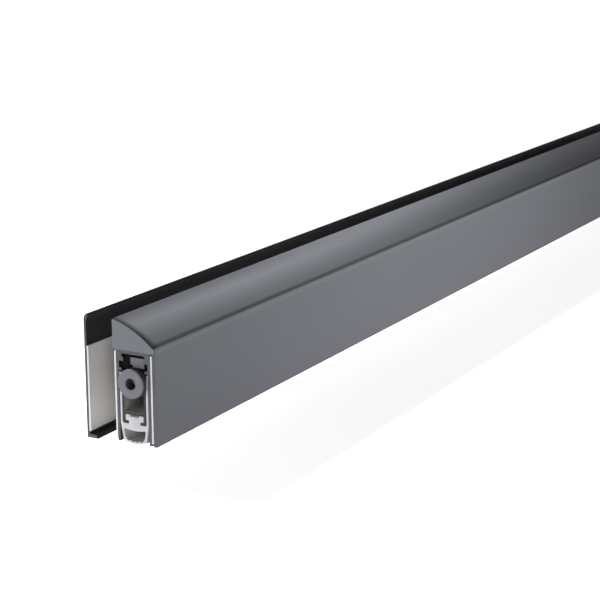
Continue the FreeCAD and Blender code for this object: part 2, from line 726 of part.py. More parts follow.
def make_anchor(label, centre, rivet_place):
    """A fixed anchor, which holds the far end of a leaf spring under the casing's roof."""
    start = f"{centre} + {HALF_SPAN} - dim.anchor_length / 2"
    floor = f"({RIB_FLOOR} + dim.block_clearance)"
    body = extrude_section(label, carrier_section(floor), start, "dim.anchor_length")
    foot = new_sketch(body, "YZ_Plane", "foot", start)
    draw_box(foot, f"0 - {INNER_HALF}", INNER_HALF, SLIDER_FLOOR, f"{floor} + 0.1")
    new_pad(foot, "dim.anchor_length")
    drill_down(body, [rivet_place], POST_MIDDLE, POST_HOLE, ROOF, RIVET_DEPTH)
    tail = new_sketch(body, "XY_Plane", "leaf_rivet_hole", SLIDER_FLOOR)
    draw_circle(tail, (f"{centre} + {HALF_SPAN} - dim.spring_seat / 4", "0"), "dim.rivet_hole / 2")
    new_pocket(tail, "dim.rivet", reversed_way=True)


def make_far_block():
    """The plain block that closes the casing's far end, with a tongue inside the rail."""
    end = "dim.casing_length - dim.block_recess"
    floor = f"({RIB_FLOOR} + dim.block_clearance)"
    start = f"{end} - dim.far_block_length"
    body = extrude_section("far_block", carrier_section(floor), start, "dim.far_block_length")
    tongue = new_sketch(body, "YZ_Plane", "tongue", start)
    low = f"{floor} - dim.far_tongue"
    draw_box(tongue, f"0 - {INNER_HALF}", INNER_HALF, low, f"{floor} + 0.1")
    new_pad(tongue, "dim.far_block_length")
    drill_down(body, [BLOCK_RIVETS[-1]], POST_MIDDLE, POST_HOLE, ROOF, RIVET_DEPTH)


def make_block_rivets():
    """Rivets through the casing's roof into the blocks, closed flush, as separate solids."""
    body = new_body("block_rivets")
    shanks = new_sketch(body, "XY_Plane", "shanks", f"{ROOF} - {RIVET_DEPTH} + 0.2")
    for place in BLOCK_RIVETS:
        draw_circle(shanks, (place, POST_MIDDLE), "dim.post_pin / 2")
    new_pad(shanks, f"{RIVET_DEPTH} - 0.2 + dim.casing_roof")


# Button, plunger and push rod

def make_button_pad():
    """The button's round wear pad, with a hole that gives access to the spindle."""
    body = new_body("button_pad")
    disc = new_sketch(body, "YZ_Plane", "disc", "0 - dim.button_proud")
    draw_circle(disc, ("0", BUTTON_Z), BUTTON_R)
    draw_circle(disc, ("0", BUTTON_Z), "dim.button_hole / 2")
    new_pad(disc, "dim.button_pad")
    doc.recompute()
    base = body.Tip
    names = []
    for index, edge in enumerate(base.Shape.Edges, start=1):
        if abs(edge.BoundBox.XMax + value("dim.button_proud")) < 1e-6:
            names.append(f"Edge{index}")
    chamfer = body.newObject("PartDesign::Chamfer", "button_pad_chamfer")
    chamfer.Base = (base, names)
    chamfer.setExpression("Size", "dim.button_chamfer")


def make_spindle():
    """The adjusting spindle: turning its hex socket sets how far the button stands out."""
    body = new_body("adjusting_spindle")
    shank = new_sketch(body, "YZ_Plane", "shank", SPINDLE_START)
    draw_circle(shank, ("0", BUTTON_Z), "dim.spindle / 2")
    new_pad(shank, "dim.spindle_length")
    socket = new_sketch(body, "YZ_Plane", "socket", SPINDLE_START)
    corners = []
    for index in range(6):
        angle = 60 * index
        across = f"dim.socket / sqrt(3) * cos({angle} deg)"
        up = f"{BUTTON_Z} + dim.socket / sqrt(3) * sin({angle} deg)"
        corners.append((across, up))
    draw_outline(socket, corners)
    new_pocket(socket, "dim.socket_depth", reversed_way=True)


def make_plunger():
    """The plunger: a round head that carries the pad, and a sleeve that takes the
    spindle and slides in the guide block."""
    body = new_body("plunger_sleeve")
    head = new_sketch(body, "YZ_Plane", "head", PAD_BACK)
    draw_circle(head, ("0", BUTTON_Z), BUTTON_R)
    new_pad(head, "dim.plunger_head")
    tube = new_sketch(body, "YZ_Plane", "tube", HEAD_END)
    draw_circle(tube, ("0", BUTTON_Z), SLEEVE_R)
    new_pad(tube, "dim.sleeve_length")
    access = new_sketch(body, "YZ_Plane", "access", PAD_BACK)
    draw_circle(access, ("0", BUTTON_Z), "dim.button_hole / 2")
    new_pocket(access, "dim.spindle_depth", reversed_way=True)
    bore = new_sketch(body, "YZ_Plane", "bore", SPINDLE_START)
    draw_circle(bore, ("0", BUTTON_Z), "dim.spindle / 2 + dim.running_fit")
    new_pocket(bore, "dim.spindle_length + dim.spindle_room", reversed_way=True)
    pin = new_sketch(body, "XZ_Plane", "pin_hole")
    draw_circle(pin, (DRIVER_MIDDLE, BUTTON_Z), "dim.driver_pin / 2 + dim.running_fit")
    new_pocket(pin, "dim.casing_width", both_ways=True)


def make_push_rod():
    """The flat rod that runs along the casing and carries the driver and the sliders."""
    body = new_body("push_rod")
    section = new_sketch(body, "YZ_Plane", "section", "dim.rod_start")
    draw_box(section, ROD_NEAR, ROD_FAR, ROD_FLOOR, RIB_TOP)
    new_pad(section, f"{FAR_SPRING} - {HALF_SPAN} + dim.slider_length / 2 - dim.rod_start")
    toe = new_sketch(body, "YZ_Plane", "toe", "dim.rod_start")
    low = f"{ROD_FLOOR} - dim.rod_toe"
    draw_box(toe, ROD_NEAR, f"{ROD_FAR} - dim.rod_toe_step", low, ROD_FLOOR)
    new_pad(toe, "dim.rod_toe_length")
    drill_down(body, ROD_RIVETS, ROD_MIDDLE, "dim.rivet_hole / 2", RIB_TOP, "dim.rod_thickness")


def make_driver():
    """The block that joins the plunger's sleeve to the push rod."""
    body = new_body("driver_block")
    section = new_sketch(body, "YZ_Plane", "section", "dim.driver_start")
    low = f"({BUTTON_Z} - {INNER_HALF})"
    draw_outline(section, [
        ("0", low, INNER_HALF, -1),
        (INNER_HALF, BUTTON_Z),
        (INNER_HALF, ROD_FLOOR),
        (f"0 - {INNER_HALF}", ROD_FLOOR),
        (f"0 - {INNER_HALF}", BUTTON_Z, INNER_HALF, -1),
    ])
    new_pad(section, "dim.driver_length")
    bore = new_sketch(body, "YZ_Plane", "bore", "dim.driver_start")
    draw_circle(bore, ("0", BUTTON_Z), f"{SLEEVE_R} + dim.running_fit")
    new_pocket(bore, "dim.driver_length", reversed_way=True)
    pin = new_sketch(body, "XZ_Plane", "pin_hole")
    draw_circle(pin, (DRIVER_MIDDLE, BUTTON_Z), "dim.driver_pin / 2 + dim.running_fit")
    new_pocket(pin, "dim.casing_width", both_ways=True)
    drill_down(body, [DRIVER_RIVET], ROD_MIDDLE, "dim.rivet_hole / 2", ROD_FLOOR, "dim.rivet")


def make_driver_pin():
    """The cross pin that locks the sleeve in the driver block."""
    body = new_body("driver_pin")
    sketch = new_sketch(body, "XZ_Plane", "pin")
    draw_circle(sketch, (DRIVER_MIDDLE, BUTTON_Z), "dim.driver_pin / 2")
    new_pad(sketch, f"2 * {INNER_HALF}", both_ways=True)


def make_slider(label, centre):
    """A slider under the push rod, which pushes one end of a leaf spring."""
    body = new_body(label)
    start = f"{centre} - {HALF_SPAN} - dim.slider_length / 2"
    section = new_sketch(body, "YZ_Plane", "section", start)
    draw_box(section, f"0 - {INNER_HALF}", INNER_HALF, SLIDER_FLOOR, ROD_FLOOR)
    new_pad(section, "dim.slider_length")
    rod_place = f"{centre} - {HALF_SPAN} - dim.slider_length / 4"
    drill_down(body, [rod_place], ROD_MIDDLE, "dim.rivet_hole / 2", ROD_FLOOR, "dim.rivet")
    tail = new_sketch(body, "XY_Plane", "leaf_rivet_hole", SLIDER_FLOOR)
    draw_circle(tail, (f"{centre} - {HALF_SPAN} + dim.spring_seat / 4", "0"), "dim.rivet_hole / 2")
    new_pocket(tail, "dim.rivet", reversed_way=True)


def make_rod_rivets():
    """Rivets through the push rod into the driver and the sliders."""
    body = new_body("rod_rivets")
    shanks = new_sketch(body, "XY_Plane", "shanks", f"{ROD_FLOOR} - dim.rivet + 0.2")
    for place in ROD_RIVETS:
        draw_circle(shanks, (place, ROD_MIDDLE), "dim.rivet / 2")
    new_pad(shanks, "dim.rod_thickness + dim.rivet - 0.2")
    heads = new_sketch(body, "XY_Plane", "heads", RIB_TOP)
    for place in ROD_RIVETS:
        draw_circle(heads, (place, ROD_MIDDLE), "dim.rivet_head / 2")
    new_pad(heads, "dim.rivet_head_height")


# Leaf springs

def leaf_side(centre, shift):
    """One face of a bow spring, from its slider end to its anchor end: seat, S-bend down
    to the saddle, saddle seat, S-bend up and seat. shift is 0 above and 1 below."""
    high = f"({SLIDER_FLOOR} - {shift} * dim.spring_leaf)"
    low = f"({SADDLE_TOP} + {1 - shift} * dim.spring_leaf)"
    fall = f"({SLIDER_FLOOR} - {SADDLE_TOP} - dim.spring_leaf)"
    seat = f"({HALF_SPAN} - dim.spring_seat / 2)"
    flat = "dim.saddle_length / 2"
    run = f"({seat} - {flat})"
    bend = f"(({run} ^ 2 + {fall} ^ 2) / (4 * {fall}))"
    convex = f"({bend} + {0.5 - shift} * dim.spring_leaf)"
    concave = f"({bend} - {0.5 - shift} * dim.spring_leaf)"
    middle = f"(({SLIDER_FLOOR} - dim.spring_leaf / 2 + {SADDLE_TOP} + dim.spring_leaf / 2) / 2)"
    lean = f"({fall} / {run})"
    sine = f"(2 * {lean} / (1 + {lean} ^ 2))"
    cosine = f"((1 - {lean} ^ 2) / (1 + {lean} ^ 2))"
    offset = f"{0.5 - shift} * dim.spring_leaf"
    turn = f"({seat} + {flat}) / 2 - {offset} * {sine}"
    level = f"{middle} + {offset} * {cosine}"
    return [
        (f"{centre} - {HALF_SPAN} - dim.spring_seat / 2", high),
        (f"{centre} - {seat}", high, convex, 1),
        (f"{centre} - ({turn})", level, concave, -1),
        (f"{centre} - {flat}", low),
        (f"{centre} + {flat}", low, concave, -1),
        (f"{centre} + ({turn})", level, convex, 1),
        (f"{centre} + {seat}", high),
        (f"{centre} + {HALF_SPAN} + dim.spring_seat / 2", high),
    ]


def reversed_side(corners):
    """The same face run the other way, so that arcs start from their other ends."""
    links = [corner[2:] for corner in corners]
    turned = []
    for index in range(len(corners) - 1, -1, -1):
        link = links[index - 1] if index else ()
        if link:
            link = (link[0], -link[1])
        turned.append(corners[index][:2] + link)
    return turned


def make_leaf_spring(label, centre):
    """A bow spring bent from flat strip, riveted at both ends and at its saddle."""
    body = new_body(label)
    side = new_sketch(body, "XZ_Plane", "side")
    draw_outline(side, leaf_side(centre, 0) + reversed_side(leaf_side(centre, 1)))
    new_pad(side, "dim.spring_width", both_ways=True)
    holes = new_sketch(body, "XY_Plane", "rivet_holes", f"{SADDLE_TOP} - 1")
    places = [
        f"{centre} - {HALF_SPAN} + dim.spring_seat / 4",
        centre,
        f"{centre} + {HALF_SPAN} - dim.spring_seat / 4",
    ]
    for place in places:
        draw_circle(holes, (place, "0"), "dim.rivet_hole / 2")
    new_pocket(holes, f"{SLIDER_FLOOR} - {SADDLE_TOP} + 2", reversed_way=True)


def make_saddle(label, centre):
    """The saddle on the rail's web, to which the middle of a leaf spring is riveted."""
    body = new_body(label)
    start = f"{centre} - dim.saddle_length / 2"
    section = new_sketch(body, "YZ_Plane", "section", start)
    half = f"({RAIL_INNER} - dim.running_fit)"
    draw_box(section, f"0 - {half}", half, WEB_TOP, SADDLE_TOP)
    new_pad(section, "dim.saddle_length")
    drill_down(body, [centre], "0", "dim.rivet_hole / 2", SADDLE_TOP, "dim.saddle_height")


def make_saddle_rivets():
    """Rivets through leaf, saddle and rail web, with their tails in the seal's valley."""
    body = new_body("saddle_rivets")
    levels = [
        ("tails", f"{WEB_UNDER} - 0.4", "0.4", "dim.rivet_head / 2"),
        ("shanks", WEB_UNDER, f"{SADDLE_TOP} + dim.spring_leaf - {WEB_UNDER}", "dim.rivet / 2"),
        ("heads", f"{SADDLE_TOP} + dim.spring_leaf", "dim.rivet_head_height", "dim.rivet_head / 2"),
    ]
    for name, level, height, radius in levels:
        sketch = new_sketch(body, "XY_Plane", name, level)
        for centre in SPRING_CENTRES.values():
            draw_circle(sketch, (centre, "0"), radius)
        new_pad(sketch, height)


def make_leaf_rivets(label, places):
    """Rivets that hold the leaf springs' ends up against the sliders or the anchors."""
    body = new_body(label)
    under = f"({SLIDER_FLOOR} - dim.spring_leaf)"
    heads = new_sketch(body, "XY_Plane", "heads", f"{under} - dim.rivet_head_height")
    shanks = new_sketch(body, "XY_Plane", "shanks", under)
    for place in places:
        draw_circle(heads, (place, "0"), "dim.rivet_head / 2")
        draw_circle(shanks, (place, "0"), "dim.rivet / 2")
    new_pad(heads, "dim.rivet_head_height")
    new_pad(shanks, "dim.spring_leaf + dim.rivet - 0.2")


# Lower corners that the rail and the seal share, and the ribs in the bulb
LOWER_CORNERS = [(RAIL_OUTER, RAIL_FLOOR), (f"0 - {RAIL_OUTER}", RAIL_FLOOR)]
TEETH = 4

# Rivet places along the casing
RIVET_DEPTH = "(dim.roof_cavity + dim.upper_rib + dim.slot_height / 2)"
BLOCK_RIVETS = [
    "dim.guide_end * 0.75",
    f"{SPRING_CENTRES['near']} + {HALF_SPAN}",
    f"{SPRING_CENTRES['far']} + {HALF_SPAN}",
    "dim.casing_length - dim.block_recess - dim.far_block_length / 2",
]
DRIVER_MIDDLE = "(dim.driver_start + dim.driver_length / 2)"
DRIVER_RIVET = DRIVER_MIDDLE
ROD_RIVETS = [DRIVER_RIVET] + [
    f"{centre} - {HALF_SPAN} - dim.slider_length / 4" for centre in SPRING_CENTRES.values()
]


def make_all():
    make_casing()
    make_casing_tape()
    make_cover_tape()
    make_cover()
    make_cover_cap("cover_cap_near", "0 - dim.cap_plate", "0")
    make_cover_cap("cover_cap_far", "dim.casing_length", "dim.casing_length - dim.cap_plug")
    make_back_strip()
    make_back_tape()
    make_drop_rail()
    make_seal()
    make_guide_block()
    make_far_block()
    make_block_rivets()
    make_button_pad()
    make_spindle()
    make_plunger()
    make_push_rod()
    make_driver()
    make_driver_pin()
    for name, centre in SPRING_CENTRES.items():
        rivet_place = f"{centre} + {HALF_SPAN}"
        make_anchor(f"spring_anchor_{name}", centre, rivet_place)
        make_slider(f"spring_slider_{name}", centre)
        make_leaf_spring(f"leaf_spring_{name}", centre)
        make_saddle(f"rail_saddle_{name}", centre)
    make_rod_rivets()
    make_saddle_rivets()
    centres = SPRING_CENTRES.values()
    fixed = [f"{centre} + {HALF_SPAN} - dim.spring_seat / 4" for centre in centres]
    moving = [f"{centre} - {HALF_SPAN} + dim.spring_seat / 4" for centre in centres]
    make_leaf_rivets("anchor_leaf_rivets", fixed)
    make_leaf_rivets("slider_leaf_rivets", moving)


def write_parts():
    """Check every object, then write each body's shape to its own file."""
    doc.recompute()
    for item in doc.Objects:
        if "Invalid" in item.State or "Error" in item.State:
            raise RuntimeError(f"{item.Label} failed: {item.State}")
    os.makedirs("parts", exist_ok=True)
    for body in doc.findObjects("PartDesign::Body"):
        shape = body.Shape
        if shape.isNull() or not shape.isValid():
            raise RuntimeError(f"{body.Label} has no valid shape")
        shape.exportStep(f"parts/{body.Label}.step")
        print(f"{body.Label}: {len(shape.Solids)} solids, {shape.Volume:.1f} mm3")


make_all()
write_parts()
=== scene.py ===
import json
import math
import random

import bmesh
import bpy
from mathutils import Matrix, Vector


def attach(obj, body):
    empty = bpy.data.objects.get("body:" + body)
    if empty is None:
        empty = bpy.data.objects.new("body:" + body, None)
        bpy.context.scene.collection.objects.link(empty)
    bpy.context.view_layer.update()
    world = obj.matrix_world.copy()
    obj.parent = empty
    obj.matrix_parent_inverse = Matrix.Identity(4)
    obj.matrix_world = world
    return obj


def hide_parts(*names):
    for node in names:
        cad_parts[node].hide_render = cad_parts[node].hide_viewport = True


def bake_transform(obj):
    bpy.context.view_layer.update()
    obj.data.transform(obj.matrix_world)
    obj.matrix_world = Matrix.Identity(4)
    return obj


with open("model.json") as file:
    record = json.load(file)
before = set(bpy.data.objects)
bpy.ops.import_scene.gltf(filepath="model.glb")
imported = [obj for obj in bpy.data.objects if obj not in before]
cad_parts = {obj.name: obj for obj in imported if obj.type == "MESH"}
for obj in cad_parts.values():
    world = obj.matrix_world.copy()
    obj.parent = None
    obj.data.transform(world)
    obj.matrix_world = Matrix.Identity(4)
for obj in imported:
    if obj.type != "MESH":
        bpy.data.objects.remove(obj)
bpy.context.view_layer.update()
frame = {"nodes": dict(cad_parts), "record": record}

NODES = frame["nodes"]
MM = 0.001

# Where the section drawing's origin lies in the frame: X from the casing's button end,
# Y from the middle of the casing and Z from the casing's lower edge, in millimetres
SECTION_X = -292.0
SECTION_Y = -7.1
SECTION_Z = -15.1

# Camera, matched to the photograph
IMAGE_SIDE = 600
FOCAL_PX = 1598.0
SENSOR_MM = 36.0
CAMERA_AZIMUTH = math.radians(-60.79)
CAMERA_ELEVATION = math.radians(14.19)
CAMERA_ROLL = math.radians(0.14)
CAMERA_PLACE = Vector((-0.6835, -0.28565, 0.15217))
CAMERA_FROM = 0.01
CAMERA_TO = 100.0

# Floor, at the level that the seal reaches when the button is pressed
FLOOR_LEVEL = -0.0277
FLOOR_SIDE = 30.0
FLOOR_GREY = 0.45

# Light that the pale floor gives back to the object, and the glow that shows, which is
# a little weaker near the object, by the distance from the origin in metres
FLOOR_BOUNCE = 0.4
FLOOR_GLOW_NEAR = 0.86
FLOOR_GLOW_FROM = 0.15
FLOOR_GLOW_TO = 0.45

# Even light from all round, beside the lamps
WORLD_LIGHT = 0.02

# Casing, tapes and counter strip, in millimetres
LENGTH = 584.0
CASING_HALF = 6.5
TAPE = 0.6
TAPE_LOW = 0.7
TAPE_HIGH = 29.5
GLASS = 10.0
STRIP_TAPE_LOW = 1.15
STRIP_TAPE_HIGH = 29.65
TAPE_BULGE = 0.15
TAPE_WANDER = 0.12
TAPE_STATIONS = 96
TAPE_EDGE_STEPS = 6

# Rounded edges in millimetres, and how finely and how far an arc rounds a corner
CUT_EDGE = 0.06
LEAF_EDGE = 0.08
EDGE_STEPS = 2
ARC_STEPS = 4
ARC_SHARE = 0.45

# Turns between two faces that make an edge, in radians, and distances that count as
# none, in metres
SHARP_TURN = math.radians(32.0)
RIM_TURN = 1.2
SAME_PLACE = 1e-7
MERGE_WITHIN = 1e-6

# Silicone seal, in millimetres
BULB_BOTTOM = -0.35
FOOT_HALF = 4.3
FOOT_LEVEL = 0.55
FOOT_RADIUS = 10.72
NIB = 0.35
FIN_OUTER = 5.3
FIN_TIP = 0.45
FIN_TOP = 22.9
THIN_FROM = 17.525
FIN_TAPER = 0.8
RAIL_OUTER = 4.55
RAIL_FLOOR = 6.25
SHOULDER = 0.25
NECK_HALF = 2.15
FLANGE_TOP = 7.25
HEAD_HALF = 3.35
HEAD_TOP = 9.2
EAR = 1.55
EAR_HEIGHT = 0.6
CHAMBER_LOW = 3.3
CHAMBER_HIGH = 3.95
CHAMBER_ROOF = 4.5
CHAMBER_SAG = 0.45
CHAMBER_ROUND = 4.0
CHAMBER_LEVEL = 2.6
CHAMBER_CORNER = 0.25
CHAMBER_MARGIN = 0.0875
SIDE_STEPS = 5
ROOF_STEPS = 10
BULB_WALL = 0.5
TEETH = 4
TOOTH = 0.6
TOOTH_ROUND = 0.16

# Bow springs, in millimetres
SPRING_CENTRES = {"near": 134.0, "far": 450.0}
SPRING_HALF = 75.0
SEAT_FROM = 65.0
SLIDER_SEAT_FROM = 57.5
SADDLE_HALF = 7.0
SPRING_HIGH = 22.15
SPRING_LOW = 13.7
LEAF = 0.5
LEAF_WIDTH = 5.0
LEAF_HOLES = (-67.5, 0.0, 67.5)
HOLE_RADIUS = 1.05
HOLE_STEPS = 8
LONG_RUN = 20.0
LONG_RUN_STEPS = 30
SHORT_RUN_STEPS = 4
SLIDER_TRAVEL = 6.0

# The same stretch along each axis
EVEN = (1, 1, 1)

# Metals: the tint of their shine, and the marks of the saw on their cut ends
METAL_TINT = (0.3, 0.3, 0.3, 1)
SAW_CONTRAST = 0.12
SAW_ROUGHER = 0.12
SAW_RELIEF = 3.0

# Dust on mouldings, as it is seen, from 0 to 255
DUST = (150, 149, 146)

# Foam tape, with its relief in millimetres
FOAM_ROUGHNESS = 0.85
LINER_ROUGHNESS = 0.55
FOAM_RELIEF = 0.02

# The shade line above the cover's nose, in metres above the frame's origin
SHADE_LINE_LEVEL = 0.0174
SHADE_LINE_HALF = 0.00045
SHADE_LINE_SOFT = 0.0003
SHADE_LINE_DEPTH = 0.45

# A painted highlight: the lighter band on the cover just below its nose, where its rounding
# catches the light, in metres above the frame's origin
HIGHLIGHT_LEVEL = 0.0157
HIGHLIGHT_HALF = 0.0006
HIGHLIGHT_SOFT = 0.0004
HIGHLIGHT_GAIN = 0.12

# The soft shade on the cover's head beside each cap, in metres along the cover
COVER_END = 0.292
CAP_SHADE = 0.0028
CAP_SHADE_DEPTH = 0.7

# Where painted shade darkens the cover's head, along its rear edge at the button's end
# and along its front at the far end, in metres from the frame's origin
COVER_REAR = -0.0006
REAR_BAND = 0.007
REAR_BAND_FROM = -0.25
REAR_BAND_TO = -0.06
FRONT_BAND_FROM = -0.2
FRONT_BAND_TO = 0.15
REAR_SHADE_DEPTH = 0.5
FRONT_SHADE_DEPTH = 0.56

# Top of the counter strip's foot, in metres above the frame's origin
STRIP_FOOT_LEVEL = -0.0128
STRIP_FOOT_SOFT = 0.0004

# The middle of the casing across the part, and how far from it the painted shade of its
# inside reaches, in metres
CASING_MIDDLE = -0.0071
CASING_INSIDE = 0.0057
CASING_INSIDE_SOFT = 0.0001

# Painted shade on the tapes' liner: light near their ends and darker further in, by the
# distance in metres from the middle of their length
LINER_UNSHADED = 0.286
LINER_FULL_SHADE = 0.272
LINER_SHADE = 0.35


def place(x, y, z):
    """A point of the section drawing, in millimetres, as a place in the frame."""
    return Vector(((x + SECTION_X) * MM, (y + SECTION_Y) * MM, (z + SECTION_Z) * MM))


# Camera

def camera_axes():
    """The camera's right, up and backward directions."""
    level = math.cos(CAMERA_ELEVATION)
    back = Vector((
        math.sin(CAMERA_AZIMUTH) * level,
        -math.cos(CAMERA_AZIMUTH) * level,
        math.sin(CAMERA_ELEVATION),
    ))
    right = (-back).cross(Vector((0, 0, 1))).normalized()
    up = right.cross(-back)
    turn_cos, turn_sin = math.cos(CAMERA_ROLL), math.sin(CAMERA_ROLL)
    return turn_cos * right - turn_sin * up, turn_sin * right + turn_cos * up, back


def add_camera():
    data = bpy.data.cameras.new("camera")
    data.sensor_fit = "HORIZONTAL"
    data.sensor_width = SENSOR_MM
    data.lens = FOCAL_PX / IMAGE_SIDE * SENSOR_MM
    data.clip_start = CAMERA_FROM
    data.clip_end = CAMERA_TO
    camera = bpy.data.objects.new("camera", data)
    bpy.context.scene.collection.objects.link(camera)
    right, up, back = camera_axes()
    turn = Matrix((right, up, back)).transposed().to_4x4()
    camera.matrix_world = Matrix.Translation(CAMERA_PLACE) @ turn
    bpy.context.scene.camera = camera


# Node helpers

def linear(red, green, blue):
    """A colour given as it is seen, from 0 to 255, as the renderer's linear values."""
    def one(value):
        share = value / 255
        return share / 12.92 if share <= 0.04045 else ((share + 0.055) / 1.055) ** 2.4
    return (one(red), one(green), one(blue), 1.0)


def new_group(name, inputs, outputs):
    """A shader node group with (name, kind, default) inputs and (name, kind) outputs."""
    group = bpy.data.node_groups.new(name, "ShaderNodeTree")
    for label, kind, default in inputs:
        socket = group.interface.new_socket(label, in_out="INPUT", socket_type=kind)
        socket.default_value = default
    for label, kind in outputs:
        group.interface.new_socket(label, in_out="OUTPUT", socket_type=kind)
    return group, group.nodes.new("NodeGroupInput"), group.nodes.new("NodeGroupOutput")


def plug(tree, value, socket):
    """Set a socket to a number or colour, or link it to another node's socket."""
    if isinstance(value, bpy.types.NodeSocket):
        tree.links.new(value, socket)
    else:
        socket.default_value = value


def stretched(tree, stretch):
    """The place on the object in metres, stretched by a factor along each axis."""
    where = tree.nodes.new("ShaderNodeTexCoord")
    mapping = tree.nodes.new("ShaderNodeMapping")
    mapping.inputs["Scale"].default_value = stretch
    tree.links.new(where.outputs["Object"], mapping.inputs["Vector"])
    return mapping.outputs["Vector"]


def noise(tree, stretch, scale, detail=3.0, roughness=0.5):
    node = tree.nodes.new("ShaderNodeTexNoise")
    node.inputs["Scale"].default_value = scale
    node.inputs["Detail"].default_value = detail
    node.inputs["Roughness"].default_value = roughness
    tree.links.new(stretched(tree, stretch), node.inputs["Vector"])
    return node.outputs["Fac"]


def cells(tree, scale):
    """The distance from the middle of the nearest foam cell."""
    node = tree.nodes.new("ShaderNodeTexVoronoi")
    node.inputs["Scale"].default_value = scale
    tree.links.new(stretched(tree, EVEN), node.inputs["Vector"])
    return node.outputs["Distance"]


def maths(tree, operation, first, second=0.5, third=0.5):
    node = tree.nodes.new("ShaderNodeMath")
    node.operation = operation
    for socket, value in zip(node.inputs, (first, second, third)):
        plug(tree, value, socket)
    return node.outputs[0]


def product(tree, first, *others):
    for value in others:
        first = maths(tree, "MULTIPLY", first, value)
    return first


def rest_of(tree, share):
    """What a share leaves of 1."""
    return maths(tree, "SUBTRACT", 1.0, share)


def ramp(tree, value, low, high):
    """0 where the value is low, 1 where it is high and a smooth turn between them."""
    node = tree.nodes.new("ShaderNodeMapRange")
    node.interpolation_type = "SMOOTHSTEP"
    node.inputs["From Min"].default_value = low
    node.inputs["From Max"].default_value = high
    plug(tree, value, node.inputs["Value"])
    return node.outputs["Result"]


def around_one(tree, value, amount):
    """1 + (value - 0.5) * 2 * amount, for varying a colour or roughness."""
    centred = maths(tree, "SUBTRACT", value, 0.5)
    doubled = product(tree, centred, 2.0)
    return maths(tree, "MULTIPLY_ADD", doubled, amount, 1.0)


def scaled(tree, colour, factor):
    node = tree.nodes.new("ShaderNodeVectorMath")
    node.operation = "SCALE"
    plug(tree, colour, node.inputs[0])
    plug(tree, factor, node.inputs["Scale"])
    return node.outputs[0]


def mixed(tree, share, first, second):
    """first where the share is 0 and second where it is 1, for colours."""
    node = tree.nodes.new("ShaderNodeMix")
    node.data_type = "RGBA"
    sockets = {socket.identifier: socket for socket in list(node.inputs) + list(node.outputs)}
    plug(tree, share, sockets["Factor_Float"])
    plug(tree, first, sockets["A_Color"])
    plug(tree, second, sockets["B_Color"])
    return sockets["Result_Color"]


def axis_share(tree, kind, axis):
    """One axis of the object's own normal or place."""
    where = tree.nodes.new("ShaderNodeTexCoord")
    parts = tree.nodes.new("ShaderNodeSeparateXYZ")
    tree.links.new(where.outputs[kind], parts.inputs[0])
    return parts.outputs[axis]


def facing(tree, axis, low, high):
    """How far a face looks along an axis: 0 where its normal is low there and 1 where high."""
    return ramp(tree, axis_share(tree, "Normal", axis), low, high)


def upward(tree):
    """1 where the surface looks up and 0 where it stands."""
    return facing(tree, "Z", 0.2, 0.55)


# Finishes

def cut_end_mask():
    """1 on faces that look along the casing, where a length was sawn or cut."""
    group, _, leave = new_group("cut end mask", [], [("Mask", "NodeSocketFloat")])
    across = maths(group, "ABSOLUTE", axis_share(group, "Normal", "X"))
    group.links.new(ramp(group, across, 0.75, 0.95), leave.inputs["Mask"])
    return group


def placed(tree, group):
    node = tree.nodes.new("ShaderNodeGroup")
    node.node_tree = group
    return node


def drawn_metal(ends):
    """Extruded or drawn metal: lines along its length, clouds, scratches and sawn ends."""
    group, entry, leave = new_group(
        "drawn metal",
        [("Colour", "NodeSocketColor", (0.5, 0.5, 0.5, 1)),
         ("End colour", "NodeSocketColor", (0.4, 0.4, 0.4, 1)),
         ("Roughness", "NodeSocketFloat", 0.4),
         ("Line contrast", "NodeSocketFloat", 0.04),
         ("Cloud contrast", "NodeSocketFloat", 0.04),
         ("Scratches", "NodeSocketFloat", 0.1)],
        [("Colour", "NodeSocketColor"), ("Roughness", "NodeSocketFloat"),
         ("Height", "NodeSocketFloat")],
    )
    lines = noise(group, (3, 900, 900), 4.0, detail=4.0, roughness=0.6)
    clouds = noise(group, (1, 2.5, 2.5), 16.0)
    scratch = ramp(group, noise(group, (30, 700, 700), 9.0, detail=1.0), 0.70, 0.76)
    saw = noise(group, (60, 900, 4200), 1.0, detail=4.0, roughness=0.6)
    end = placed(group, ends).outputs["Mask"]
    shade = product(
        group,
        around_one(group, lines, entry.outputs["Line contrast"]),
        around_one(group, clouds, entry.outputs["Cloud contrast"]))
    worn = maths(group, "MULTIPLY_ADD", scratch, entry.outputs["Scratches"], shade)
    along = scaled(group, entry.outputs["Colour"], worn)
    sawn = scaled(group, entry.outputs["End colour"], around_one(group, saw, SAW_CONTRAST))
    rough = product(group, entry.outputs["Roughness"], around_one(group, lines, 0.2))
    height = maths(group, "ADD", lines, product(group, saw, end, SAW_RELIEF))
    group.links.new(mixed(group, end, along, sawn), leave.inputs["Colour"])
    rougher = maths(group, "MULTIPLY_ADD", end, SAW_ROUGHER, rough)
    group.links.new(rougher, leave.inputs["Roughness"])
    group.links.new(height, leave.inputs["Height"])
    return group


